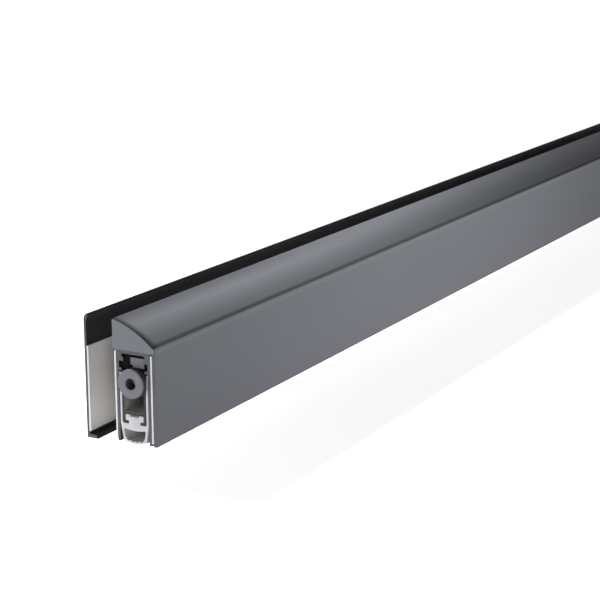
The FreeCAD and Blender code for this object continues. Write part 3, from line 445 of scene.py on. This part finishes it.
def moulded_grain():
    """Moulded plastic or silicone: a fine grain, broad clouds and a little dust."""
    group, entry, leave = new_group(
        "moulded grain",
        [("Colour", "NodeSocketColor", (0.5, 0.5, 0.5, 1)),
         ("Dust colour", "NodeSocketColor", (0.5, 0.5, 0.5, 1)),
         ("Roughness", "NodeSocketFloat", 0.5),
         ("Grain contrast", "NodeSocketFloat", 0.04),
         ("Cloud contrast", "NodeSocketFloat", 0.03),
         ("Dust", "NodeSocketFloat", 0.2)],
        [("Colour", "NodeSocketColor"), ("Roughness", "NodeSocketFloat"),
         ("Height", "NodeSocketFloat")],
    )
    grain = noise(group, EVEN, 5200.0, detail=2.0)
    clouds = noise(group, EVEN, 90.0)
    specks = ramp(group, noise(group, EVEN, 1700.0, detail=1.0), 0.66, 0.74)
    shade = product(
        group,
        around_one(group, grain, entry.outputs["Grain contrast"]),
        around_one(group, clouds, entry.outputs["Cloud contrast"]))
    clean = scaled(group, entry.outputs["Colour"], shade)
    dusty = product(group, specks, entry.outputs["Dust"])
    colour = mixed(group, dusty, clean, entry.outputs["Dust colour"])
    rough = product(group, entry.outputs["Roughness"], around_one(group, grain, 0.15))
    group.links.new(colour, leave.inputs["Colour"])
    group.links.new(rough, leave.inputs["Roughness"])
    group.links.new(grain, leave.inputs["Height"])
    return group


def new_shader(name):
    """A new material, its node tree and its Principled shader."""
    material = bpy.data.materials.new(name)
    material.use_nodes = True
    return material, material.node_tree, material.node_tree.nodes["Principled BSDF"]


def add_relief(tree, shader, height, depth_mm):
    """Bend the shader's normal as a height from 0 to 1 would, at a depth in millimetres."""
    bump = tree.nodes.new("ShaderNodeBump")
    bump.inputs["Distance"].default_value = depth_mm * MM
    bump.inputs["Strength"].default_value = 1.0
    tree.links.new(height, bump.inputs["Height"])
    tree.links.new(bump.outputs["Normal"], shader.inputs["Normal"])


def new_finish(name, group, inputs, constants, relief_mm):
    """A material made with a group. inputs go to the group, and constants go on the
    shader's own sockets."""
    material, tree, shader = new_shader(name)
    finish = placed(tree, group)
    for label, value in inputs.items():
        finish.inputs[label].default_value = value
    for label, value in constants.items():
        shader.inputs[label].default_value = value
    tree.links.new(finish.outputs["Colour"], shader.inputs["Base Color"])
    tree.links.new(finish.outputs["Roughness"], shader.inputs["Roughness"])
    add_relief(tree, shader, finish.outputs["Height"], relief_mm)
    return material


def metal(name, group, colour, end_colour, roughness, metallic, lines, clouds, scratches,
          relief_mm=0.0015, specular=0.05):
    inputs = {
        "Colour": colour,
        "End colour": end_colour,
        "Roughness": roughness,
        "Line contrast": lines,
        "Cloud contrast": clouds,
        "Scratches": scratches,
    }
    constants = {
        "Metallic": metallic,
        "Specular IOR Level": specular,
        "Specular Tint": METAL_TINT,
    }
    return new_finish(name, group, inputs, constants, relief_mm)


def moulding(name, group, colour, dust_colour, roughness, grain, clouds, dust, relief_mm,
             specular):
    inputs = {
        "Colour": colour,
        "Dust colour": dust_colour,
        "Roughness": roughness,
        "Grain contrast": grain,
        "Cloud contrast": clouds,
        "Dust": dust,
    }
    return new_finish(name, group, inputs, {"Specular IOR Level": specular}, relief_mm)


# Painted light and shade, by the place or the direction of a face on the object

def base_colour(material):
    """A material's node tree, its shader's colour socket and what feeds that socket now."""
    socket = material.node_tree.nodes["Principled BSDF"].inputs["Base Color"]
    return material.node_tree, socket, socket.links[0].from_socket


def darken(tree, socket, colour, share):
    """Feed a socket with a colour that has lost a share of its light."""
    tree.links.new(scaled(tree, colour, rest_of(tree, share)), socket)


def level_band(tree, level, half, soft):
    """1 within a band around a level above the frame's origin, with soft edges."""
    away = maths(tree, "SUBTRACT", axis_share(tree, "Object", "Z"), level)
    return ramp(tree, maths(tree, "ABSOLUTE", away), half + soft, half - soft)


def add_painted_shade_line(material):
    """Painted shade in a thin darker line just above the cover's nose."""
    tree, socket, colour = base_colour(material)
    line = level_band(tree, SHADE_LINE_LEVEL, SHADE_LINE_HALF, SHADE_LINE_SOFT)
    share = product(tree, line, facing(tree, "Y", -0.3, -0.5), SHADE_LINE_DEPTH)
    darken(tree, socket, colour, share)


def add_painted_highlight(material):
    """Painted highlight: a slightly lighter soft band below the cover's nose."""
    tree, socket, colour = base_colour(material)
    band = level_band(tree, HIGHLIGHT_LEVEL, HIGHLIGHT_HALF, HIGHLIGHT_SOFT)
    share = product(tree, band, facing(tree, "Y", -0.6, -0.9))
    gain = maths(tree, "MULTIPLY_ADD", share, HIGHLIGHT_GAIN, 1.0)
    tree.links.new(scaled(tree, colour, gain), socket)


def add_painted_crown_shade(material):
    """Painted shade on the head: a little darker along its rear edge at the button's end,
    and along its front at the far end, where the head's highlight falls away."""
    tree, socket, colour = base_colour(material)
    along = axis_share(tree, "Object", "X")
    rear = product(
        tree,
        ramp(tree, axis_share(tree, "Object", "Y"), COVER_REAR - REAR_BAND, COVER_REAR),
        ramp(tree, along, REAR_BAND_TO, REAR_BAND_FROM),
        REAR_SHADE_DEPTH)
    front = product(
        tree,
        facing(tree, "Y", -0.15, -0.75),
        ramp(tree, along, FRONT_BAND_FROM, FRONT_BAND_TO),
        FRONT_SHADE_DEPTH)
    share = product(tree, maths(tree, "MAXIMUM", rear, front), upward(tree))
    darken(tree, socket, colour, share)


def add_cap_shade(material):
    """A soft shade on the cover's head where it meets its caps."""
    tree, socket, colour = base_colour(material)
    away = maths(tree, "ABSOLUTE", axis_share(tree, "Object", "X"))
    near = ramp(tree, away, COVER_END - CAP_SHADE, COVER_END + CAP_SHADE / 4)
    darken(tree, socket, colour, product(tree, near, upward(tree), CAP_SHADE_DEPTH))


def shade_sides(material, ends, colour, sides):
    """Paint shade on the faces that sides(tree) marks, in another, darker colour, and leave the
    cut ends.
    """
    tree, socket, outside = base_colour(material)
    whole = rest_of(tree, placed(tree, ends).outputs["Mask"])
    share = product(tree, sides(tree), whole)
    tree.links.new(mixed(tree, share, outside, colour), socket)


def towards_cover(tree):
    """1 on faces that look towards the cover's side of the part."""
    return facing(tree, "Y", -0.3, -0.7)


def inside_strip(tree):
    """1 on the counter strip's side towards the glass and on its foot."""
    level = axis_share(tree, "Object", "Z")
    low = ramp(tree, level, STRIP_FOOT_LEVEL + STRIP_FOOT_SOFT, STRIP_FOOT_LEVEL)
    return maths(tree, "MAXIMUM", towards_cover(tree), product(tree, low, upward(tree)))


def inside_casing(tree):
    """1 on the faces inside the casing."""
    away = maths(tree, "SUBTRACT", axis_share(tree, "Object", "Y"), CASING_MIDDLE)
    return ramp(
        tree, maths(tree, "ABSOLUTE", away),
        CASING_INSIDE + CASING_INSIDE_SOFT, CASING_INSIDE - CASING_INSIDE_SOFT)


def paint_rim_shade(material, ends, colour):
    """Painted shade on the upper rim of the cap, between its face and the cover, in a darker
    colour.
    """
    tree, socket, face = base_colour(material)
    plain = maths(tree, "MAXIMUM", placed(tree, ends).outputs["Mask"], rest_of(tree, upward(tree)))
    tree.links.new(mixed(tree, plain, colour, face), socket)


# Materials

def cover_finish(drawn):
    material = metal(
        "anodised cover", drawn, linear(110, 112, 117), linear(112, 115, 120),
        roughness=0.42, metallic=0.03, lines=0.04, clouds=0.04, scratches=0.02, specular=0.01)
    add_painted_shade_line(material)
    add_painted_highlight(material)
    add_painted_crown_shade(material)
    add_cap_shade(material)
    return material


def strip_finish(drawn, ends):
    material = metal(
        "anodised strip", drawn, linear(100, 102, 107), linear(100, 103, 108),
        roughness=0.4, metallic=0.05, lines=0.015, clouds=0.03, scratches=0.01,
        relief_mm=0.0006)
    # Painted shade: the strip's side towards the glass and its foot, deep in the narrow gap,
    # darker
    shade_sides(material, ends, linear(50, 50, 51), inside_strip)
    return material


def casing_finish(drawn, ends):
    material = metal(
        "casing aluminium", drawn, linear(104, 105, 109), linear(102, 104, 109),
        roughness=0.42, metallic=0.2, lines=0.05, clouds=0.04, scratches=0.04)
    # Painted shade: the faces inside the casing darker
    shade_sides(material, ends, linear(52, 52, 54), inside_casing)
    return material


def rail_finish(drawn, ends):
    # Painted light and shade: very light faces stand in for light in the rail's deep channel, dark
    # cut ends stand in for their shade, and the faces that look towards the cover's side are
    # darker as painted shade
    material = metal(
        "rail aluminium", drawn, linear(226, 223, 218), linear(75, 75, 78),
        roughness=0.42, metallic=0.15, lines=0.05, clouds=0.04, scratches=0.04)
    shade_sides(material, ends, linear(176, 174, 170), towards_cover)
    return material


def cap_finish(grain, ends):
    material = moulding(
        "grey cap plastic", grain, linear(129, 132, 139), linear(*DUST),
        roughness=0.55, grain=0.04, clouds=0.03, dust=0.1, relief_mm=0.004, specular=0.3)
    # Painted shade on the cap's upper rim
    paint_rim_shade(material, ends, linear(66, 67, 70))
    return material


def foam_finish():
    """White foam tape: open cells on its narrow edges, a smooth warm liner on its faces, with
    painted shade on the liner further in from the ends.
    """
    material, tree, shader = new_shader("foam tape")
    liner = ramp(tree, maths(tree, "ABSOLUTE", axis_share(tree, "Normal", "Y")), 0.6, 0.9)
    bubble = cells(tree, 5200.0)
    clouds = noise(tree, EVEN, 60.0)
    creases = noise(tree, (25, 25, 160), 1.0, detail=4.0)
    foam = scaled(tree, linear(253, 253, 253)[:3], around_one(tree, bubble, 0.05))
    # Painted shade: the liner darker away from the tape's ends
    along = maths(tree, "ABSOLUTE", axis_share(tree, "Object", "X"))
    inner = ramp(tree, along, LINER_UNSHADED, LINER_FULL_SHADE)
    grey = maths(tree, "MULTIPLY_ADD", inner, -LINER_SHADE, 1.0)
    tone = product(tree, grey, around_one(tree, clouds, 0.04))
    paper = scaled(tree, linear(221, 219, 215)[:3], tone)
    tree.links.new(mixed(tree, liner, foam, paper), shader.inputs["Base Color"])
    rough = maths(tree, "MULTIPLY_ADD", liner, LINER_ROUGHNESS - FOAM_ROUGHNESS, FOAM_ROUGHNESS)
    rough = product(tree, rough, around_one(tree, clouds, 0.1))
    tree.links.new(rough, shader.inputs["Roughness"])
    pores = product(tree, bubble, rest_of(tree, liner))
    add_relief(tree, shader, maths(tree, "MULTIPLY_ADD", creases, 0.3, pores), FOAM_RELIEF)
    shader.inputs["Specular IOR Level"].default_value = 0.3
    return material


def silicone_finish(grain):
    return moulding(
        "silicone", grain, linear(222, 221, 226), linear(*DUST),
        roughness=0.42, grain=0.02, clouds=0.03, dust=0.25, relief_mm=0.002, specular=0.4)


def shaded_chamber_finish(grain):
    # Painted shade: a darker copy of the seal's silicone for the faces inside the bulb
    return moulding(
        "painted shade silicone", grain, linear(204, 202, 198), linear(*DUST),
        roughness=0.6, grain=0.05, clouds=0.1, dust=0.2, relief_mm=0.002, specular=0.1)


def sleeve_finish(grain):
    return moulding(
        "sleeve plastic", grain, linear(94, 91, 87), linear(108, 106, 102),
        roughness=0.6, grain=0.08, clouds=0.05, dust=0.2, relief_mm=0.004, specular=0.03)


def black_finish(grain):
    return moulding(
        "black plastic", grain, linear(23, 23, 23), linear(45, 45, 43),
        roughness=0.6, grain=0.1, clouds=0.05, dust=0.3, relief_mm=0.004, specular=0.03)


def button_finish(grain):
    return moulding(
        "button nylon", grain, linear(126, 129, 134), linear(*DUST),
        roughness=0.5, grain=0.04, clouds=0.02, dust=0.15, relief_mm=0.003, specular=0.3)


def lit_spindle_finish(drawn):
    # Painted light: a lighter, almost matte copy of steel, so that the spindle shows in the shade
    # deep in the button's hole
    return metal(
        "spindle steel", drawn, linear(205, 205, 198), linear(215, 215, 208),
        roughness=0.5, metallic=0.1, lines=0.05, clouds=0.06, scratches=0.05)


def zinc_finish(drawn):
    return metal(
        "zinc plated steel", drawn, linear(150, 150, 144), linear(120, 120, 116),
        roughness=0.35, metallic=0.9, lines=0.05, clouds=0.06, scratches=0.05)


def rod_finish(drawn):
    return metal(
        "drawn steel", drawn, linear(136, 133, 136), linear(118, 115, 118),
        roughness=0.42, metallic=0.4, lines=0.06, clouds=0.04, scratches=0.05)


def rivet_finish(drawn):
    return metal(
        "rivet aluminium", drawn, linear(160, 161, 163), linear(150, 151, 153),
        roughness=0.4, metallic=0.9, lines=0.03, clouds=0.03, scratches=0.05)


def spring_finish(drawn):
    return metal(
        "spring steel", drawn, linear(96, 97, 102), linear(90, 90, 94),
        roughness=0.35, metallic=1.0, lines=0.06, clouds=0.05, scratches=0.05)


def make_materials():
    """Every material, under the node or the record's slot that it is for."""
    ends = cut_end_mask()
    drawn = drawn_metal(ends)
    grain = moulded_grain()
    return {
        "anodised_aluminium": strip_finish(drawn, ends),
        "cover_profile": cover_finish(drawn),
        "grey_plastic": cap_finish(grain, ends),
        "casing": casing_finish(drawn, ends),
        "mill_aluminium": rail_finish(drawn, ends),
        "foam_tape": foam_finish(),
        "silicone": silicone_finish(grain),
        "chamber": shaded_chamber_finish(grain),
        "plunger_sleeve": sleeve_finish(grain),
        "black_plastic": black_finish(grain),
        "button_plastic": button_finish(grain),
        "adjusting_spindle": lit_spindle_finish(drawn),
        "zinc_steel": zinc_finish(drawn),
        "rod_steel": rod_finish(drawn),
        "rivet_aluminium": rivet_finish(drawn),
        "spring_steel": spring_finish(drawn),
    }


def dress_nodes(materials):
    slots = {part["node"]: part["material_slot"] for part in frame["record"]["subparts"]}
    for name, node in NODES.items():
        node.data.materials.clear()
        node.data.materials.append(materials.get(name, materials[slots[name]]))


# Mesh helpers

def rounded(corners):
    """A closed outline whose corners (across, up, radius) are turned on short arcs."""
    outline = []
    count = len(corners)
    for index, (across, up, radius) in enumerate(corners):
        here = Vector((across, up))
        before = Vector(corners[index - 1][:2]) - here
        after = Vector(corners[(index + 1) % count][:2]) - here
        if radius == 0:
            outline.append((across, up))
            continue
        half = before.angle(after) / 2
        room = min(before.length, after.length) * ARC_SHARE
        back = min(radius / math.tan(half), room)
        start = here + before.normalized() * back
        end = here + after.normalized() * back
        for step in range(ARC_STEPS + 1):
            share = step / ARC_STEPS
            point = start * (1 - share) ** 2 + here * 2 * share * (1 - share) + end * share ** 2
            outline.append((point.x, point.y))
    return outline


def bow(start, end, rise, steps):
    """Points after start on a shallow arc to end, lifted by rise in its middle."""
    first, last = Vector(start), Vector(end)
    chord = last - first
    side = Vector((-chord.y, chord.x)).normalized()
    points = []
    for step in range(1, steps):
        share = step / steps
        point = first + chord * share + side * (rise * 4 * share * (1 - share))
        points.append((point.x, point.y))
    return points


def add_object(name, mesh):
    item = bpy.data.objects.new(name, mesh)
    bpy.context.scene.collection.objects.link(item)
    return item


def finish_mesh(bm, name):
    """Turn a bmesh into an object with smooth faces and hard edges where it turns sharply."""
    bmesh.ops.recalc_face_normals(bm, faces=bm.faces)
    for face in bm.faces:
        face.smooth = True
    for edge in bm.edges:
        edge.smooth = len(edge.link_faces) == 2 and edge.calc_face_angle() < SHARP_TURN
    mesh = bpy.data.meshes.new(name)
    bm.to_mesh(mesh)
    bm.free()
    return add_object(name, mesh)


def draw_loop(bm, outline):
    """A closed ring of edges at the button's end."""
    points = [bm.verts.new(place(0, across, up)) for across, up in outline]
    return [bm.edges.new(pair) for pair in zip(points, points[1:] + points[:1])]


def extrude_outlines(name, outlines):
    """A piece of the full length with one outline outside and holes inside it. Its cut
    ends have slightly rounded edges."""
    bm = bmesh.new()
    edges = []
    for outline in outlines:
        edges += draw_loop(bm, outline)
    bmesh.ops.triangle_fill(bm, use_beauty=True, edges=edges)
    grown = bmesh.ops.extrude_face_region(bm, geom=list(bm.faces))
    moved = [item for item in grown["geom"] if isinstance(item, bmesh.types.BMVert)]
    bmesh.ops.translate(bm, verts=moved, vec=Vector((LENGTH * MM, 0, 0)))
    rims = [edge for edge in bm.edges if len(edge.link_faces) == 2
            and abs(edge.verts[0].co.x - edge.verts[1].co.x) < SAME_PLACE
            and edge.calc_face_angle() > RIM_TURN]
    bmesh.ops.bevel(
        bm, geom=rims, offset=CUT_EDGE * MM, segments=EDGE_STEPS, profile=0.5, affect="EDGES")
    return finish_mesh(bm, name)


# Silicone seal

def bulb_level(across):
    """The height of the bulb's curved underside at a distance from the middle."""
    return BULB_BOTTOM + FOOT_RADIUS - math.sqrt(FOOT_RADIUS ** 2 - across ** 2)


def seal_outline():
    """The seal's outside: bulb, nibs, fins, and the head and neck held by the rail."""
    foot = [(across, bulb_level(across), 0) for across in (0.0, 1.1, 2.2, 3.3)]
    right = foot + [
        (FOOT_HALF, FOOT_LEVEL, 0.1),
        (FOOT_HALF + NIB, FOOT_LEVEL + NIB / 2, 0.12),
        (FOOT_HALF + NIB / 4, FOOT_LEVEL + NIB, 0.1),
        (FIN_OUTER, RAIL_FLOOR - SHOULDER, 1.2),
        (FIN_OUTER, FIN_TOP, 0.22),
        (FIN_OUTER - FIN_TIP, FIN_TOP, 0.22),
        (FIN_OUTER - FIN_TIP, THIN_FROM + FIN_TAPER, 0.3),
        (RAIL_OUTER, THIN_FROM, 0.2),
        (RAIL_OUTER, RAIL_FLOOR, 0.6),
        (NECK_HALF, RAIL_FLOOR, 0.12),
        (NECK_HALF, FLANGE_TOP, 0.12),
        (HEAD_HALF, FLANGE_TOP, 0.35),
        (HEAD_HALF, HEAD_TOP, 0.45),
        (HEAD_HALF - EAR, HEAD_TOP, 0.3),
        (HEAD_HALF - EAR, HEAD_TOP - EAR_HEIGHT, 0.2),
    ]
    left = [(-across, up, radius) for across, up, radius in reversed(right[1:])]
    return rounded(right + left)


def chamber_outline():
    """The bulb's chamber: ribs on its floor, bowed sides and a sagging roof."""
    floor = []
    for index in range(2 * TEETH + 1):
        across = CHAMBER_LOW * (index / TEETH - 1)
        lift = TOOTH if index % 2 == 0 else 0.0
        floor.append((across, bulb_level(across) + BULB_WALL + lift, TOOTH_ROUND))
    last = floor[-1][:2]
    right = (CHAMBER_HIGH, CHAMBER_ROOF)
    left = (-CHAMBER_HIGH, CHAMBER_ROOF)
    rise = (CHAMBER_ROOF - last[1]) ** 2 / (8 * CHAMBER_ROUND)
    side = [(across, up, 0) for across, up in bow(last, right, -rise, SIDE_STEPS)]
    roof = [(across, up, 0) for across, up in bow(right, left, CHAMBER_SAG, ROOF_STEPS)]
    mirror = [(-across, up, 0) for across, up, _ in reversed(side)]
    return rounded(
        floor + side + [(*right, CHAMBER_CORNER)] + roof + [(*left, CHAMBER_CORNER)] + mirror)


def mark_chamber(seal):
    """Give the faces inside the bulb the seal's second material, a darker copy of the silicone
    that paints the shade inside the bulb.
    """
    middle = place(0, 0, CHAMBER_LEVEL)
    top = place(0, 0, CHAMBER_ROOF + CHAMBER_SAG).z
    reach = (CHAMBER_HIGH + CHAMBER_MARGIN) * MM
    for face in seal.data.polygons:
        inward = (middle - face.center) * Vector((0, 1, 1))
        within = face.center.z < top and abs(face.center.y - middle.y) < reach
        if within and abs(face.normal.x) < 0.5 and face.normal.dot(inward) > 0:
            face.material_index = 1


def make_seal(material, chamber):
    seal = extrude_outlines("silicone_seal", [seal_outline(), chamber_outline()])
    seal.data.materials.append(material)
    seal.data.materials.append(chamber)
    mark_chamber(seal)
    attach(seal, "seal_rail")
    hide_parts("seal_strip")


# Foam tapes

def make_tape(name, node, near_side, low, high, material, seed):
    """A foam tape: straight faces, edges that bulge a little and wander along it."""
    chance = random.Random(seed)
    bm = bmesh.new()
    half = TAPE / 2
    middle = near_side + half
    stations = [LENGTH * index / TAPE_STATIONS for index in range(TAPE_STATIONS + 1)]
    wander = [chance.uniform(0, TAPE_WANDER) for _ in range(2 * len(stations))]
    rings = []
    for index, x in enumerate(stations):
        bottom = low + wander[2 * index] + TAPE_BULGE
        top = high - wander[2 * index + 1] - TAPE_BULGE
        ring = []
        for level, first in ((top, 0.0), (bottom, math.pi)):
            for step in range(TAPE_EDGE_STEPS + 1):
                turn = first + math.pi * step / TAPE_EDGE_STEPS
                across = middle + half * math.cos(turn)
                ring.append(bm.verts.new(place(x, across, level + TAPE_BULGE * math.sin(turn))))
        rings.append(ring)
    for ring, following in zip(rings, rings[1:]):
        for index in range(len(ring)):
            after = (index + 1) % len(ring)
            bm.faces.new((ring[index], ring[after], following[after], following[index]))
    bm.faces.new(rings[0])
    bm.faces.new(rings[-1])
    tape = finish_mesh(bm, name)
    tape.data.materials.append(material)
    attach(tape, "casing")
    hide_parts(node)


def make_tapes(material):
    glass_far = CASING_HALF + TAPE + GLASS
    make_tape("casing_foam", "casing_tape", CASING_HALF, TAPE_LOW, TAPE_HIGH, material, 3)
    make_tape("cover_foam", "cover_tape", -CASING_HALF - TAPE, TAPE_LOW, TAPE_HIGH, material, 5)
    make_tape("strip_foam", "back_tape", glass_far, STRIP_TAPE_LOW, STRIP_TAPE_HIGH, material, 7)


# Bow springs

def leaf_level(distance):
    """The height of the leaf's middle at a distance from the spring's centre, which is
    negative towards the slider."""
    fall = SPRING_HIGH - SPRING_LOW
    seat = SLIDER_SEAT_FROM if distance < 0 else SEAT_FROM
    run = seat - SADDLE_HALF
    bend = (run ** 2 + fall ** 2) / (4 * fall)
    along = min(max(abs(distance) - SADDLE_HALF, 0.0), run)
    if along < run / 2:
        return SPRING_LOW + bend - math.sqrt(bend ** 2 - along ** 2)
    return SPRING_HIGH - bend + math.sqrt(bend ** 2 - (run - along) ** 2)


def around_hole(bm, centre, x, half, slot):
    """Faces between a rectangle of the leaf and the round hole or slot inside it."""
    outside, inside = [], []
    for middle, first in ((x + slot, -math.pi / 2), (x, math.pi / 2)):
        for step in range(HOLE_STEPS + 1):
            turn = first + math.pi * step / HOLE_STEPS
            reach = half / max(abs(math.cos(turn)), abs(math.sin(turn)))
            for points, radius in ((outside, reach), (inside, HOLE_RADIUS)):
                along = middle + radius * math.cos(turn)
                across = radius * math.sin(turn)
                points.append(bm.verts.new(place(centre + along, across, leaf_level(along))))
    count = len(outside)
    for index in range(count):
        joins_arcs = index in (HOLE_STEPS, count - 1)
        if joins_arcs and slot == 0:
            continue
        after = (index + 1) % count
        bm.faces.new((outside[index], outside[after], inside[after], inside[index]))


def leaf_run(bm, centre, start, end, steps):
    """Faces of the leaf between two holes, or from a hole to its end. Their lanes meet the
    corners of the faces round the holes."""
    half = LEAF_WIDTH / 2
    side = HOLE_STEPS // 4
    lanes = [half * math.tan(math.pi * step / HOLE_STEPS) for step in range(-side, side + 1)]
    rows = []
    for step in range(steps + 1):
        x = start + (end - start) * step / steps
        rows.append([bm.verts.new(place(centre + x, across, leaf_level(x))) for across in lanes])
    for row, following in zip(rows, rows[1:]):
        for index in range(len(lanes) - 1):
            bm.faces.new((row[index], row[index + 1], following[index + 1], following[index]))


def make_leaf(name, centre, material):
    """A bow spring of flat strip with holes for its rivets. The hole at the slider is a
    slot, where the rivet moves with the push rod."""
    bm = bmesh.new()
    half = LEAF_WIDTH / 2
    edge = -SPRING_HALF
    for hole in LEAF_HOLES:
        slot = SLIDER_TRAVEL if hole == LEAF_HOLES[0] else 0.0
        steps = LONG_RUN_STEPS if hole - edge > LONG_RUN else SHORT_RUN_STEPS
        leaf_run(bm, centre, edge, hole - half, steps)
        around_hole(bm, centre, hole, half, slot)
        edge = hole + slot + half
    leaf_run(bm, centre, edge, SPRING_HALF, SHORT_RUN_STEPS)
    bmesh.ops.remove_doubles(bm, verts=bm.verts, dist=MERGE_WITHIN)
    sheet = finish_mesh(bm, f"{name}_sheet")
    solid = sheet.modifiers.new("thickness", "SOLIDIFY")
    solid.thickness = LEAF * MM
    solid.offset = 0.0
    bevel = sheet.modifiers.new("edges", "BEVEL")
    bevel.width = LEAF_EDGE * MM
    bevel.segments = EDGE_STEPS
    bevel.limit_method = "ANGLE"
    bpy.context.view_layer.update()
    graph = bpy.context.evaluated_depsgraph_get()
    mesh = bpy.data.meshes.new_from_object(sheet.evaluated_get(graph))
    bpy.data.objects.remove(sheet)
    leaf = add_object(f"bow_spring_{name}", mesh)
    leaf.data.materials.clear()
    leaf.data.materials.append(material)
    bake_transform(leaf)
    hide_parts(f"leaf_spring_{name}")


# Floor, lamps and world

def seen_rays(tree):
    """1 for the rays that should meet the white background."""
    path = tree.nodes.new("ShaderNodeLightPath")
    seen = maths(tree, "MAXIMUM", path.outputs["Is Camera Ray"], path.outputs["Is Glossy Ray"])
    return maths(tree, "MAXIMUM", seen, path.outputs["Is Transmission Ray"])


def add_floor():
    """A pale floor that the camera sees as white, and that still takes the shadow."""
    mesh = bpy.data.meshes.new("floor")
    half = FLOOR_SIDE / 2
    corners = [(-half, -half, FLOOR_LEVEL), (half, -half, FLOOR_LEVEL),
               (half, half, FLOOR_LEVEL), (-half, half, FLOOR_LEVEL)]
    mesh.from_pydata(corners, [], [(0, 1, 2, 3)])
    floor = add_object("floor", mesh)
    material, tree, shader = new_shader("floor")
    shader.inputs["Base Color"].default_value = (FLOOR_GREY, FLOOR_GREY, FLOOR_GREY, 1)
    shader.inputs["Roughness"].default_value = 0.9
    shader.inputs["Specular IOR Level"].default_value = 0.0
    shader.inputs["Emission Color"].default_value = (1, 1, 1, 1)
    away = tree.nodes.new("ShaderNodeVectorMath")
    away.operation = "LENGTH"
    tree.links.new(stretched(tree, EVEN), away.inputs[0])
    far = ramp(tree, away.outputs["Value"], FLOOR_GLOW_FROM, FLOOR_GLOW_TO)
    glow = maths(tree, "MULTIPLY_ADD", far, 1 - FLOOR_GLOW_NEAR, FLOOR_GLOW_NEAR)
    extra = maths(tree, "SUBTRACT", glow, FLOOR_BOUNCE)
    light = maths(tree, "MULTIPLY_ADD", seen_rays(tree), extra, FLOOR_BOUNCE)
    tree.links.new(light, shader.inputs["Emission Strength"])
    mesh.materials.append(material)


def add_lamp(name, where, target, size, power):
    """A rectangular lamp at a place and turned to a target, with its sides in metres and
    its power in watts."""
    data = bpy.data.lights.new(name, "AREA")
    data.shape = "RECTANGLE"
    data.size, data.size_y = size
    data.energy = power
    lamp = bpy.data.objects.new(name, data)
    lamp.location = where
    direction = Vector(target) - Vector(where)
    lamp.rotation_euler = direction.to_track_quat("-Z", "Y").to_euler()
    lamp.visible_camera = False
    bpy.context.scene.collection.objects.link(lamp)


def add_world():
    """A white background with only a little light for the object."""
    world = bpy.data.worlds.new("world")
    bpy.context.scene.world = world
    world.use_nodes = True
    tree = world.node_tree
    tree.nodes.clear()
    plain = tree.nodes.new("ShaderNodeBackground")
    plain.inputs["Strength"].default_value = WORLD_LIGHT
    white = tree.nodes.new("ShaderNodeBackground")
    white.inputs["Strength"].default_value = 1.0
    mix = tree.nodes.new("ShaderNodeMixShader")
    out = tree.nodes.new("ShaderNodeOutputWorld")
    tree.links.new(seen_rays(tree), mix.inputs[0])
    tree.links.new(plain.outputs[0], mix.inputs[1])
    tree.links.new(white.outputs[0], mix.inputs[2])
    tree.links.new(mix.outputs[0], out.inputs[0])


def add_lights():
    add_lamp("key", (-1.05, 0.73, 0.08), (-0.292, 0, 0), (0.3, 0.14), 3.1)
    add_lamp("fill", (-0.85, -0.65, 0.06), (-0.292, 0, 0), (0.5, 0.14), 0.72)
    add_lamp("rear", (0.75, 0.95, 0.03), (0.15, 0, 0), (0.4, 0.08), 3.0)
    add_lamp("side", (-0.08, -0.33, -0.004), (-0.08, 0, -0.002), (0.16, 0.02), 0.82)
    add_lamp("top", (-0.24, 0.17, 0.2), (-0.24, 0, 0.015), (0.14, 0.06), 1.84)
    add_lamp("top_far", (-0.13, 0.17, 0.2), (-0.13, 0, 0.015), (0.14, 0.06), 0.62)


def main():
    add_camera()
    materials = make_materials()
    dress_nodes(materials)
    make_seal(materials["silicone"], materials["chamber"])
    make_tapes(materials["foam_tape"])
    for name, centre in SPRING_CENTRES.items():
        make_leaf(name, centre, materials["spring_steel"])
    add_floor()
    add_world()
    add_lights()
    bpy.context.scene.view_settings.view_transform = "Standard"


main()
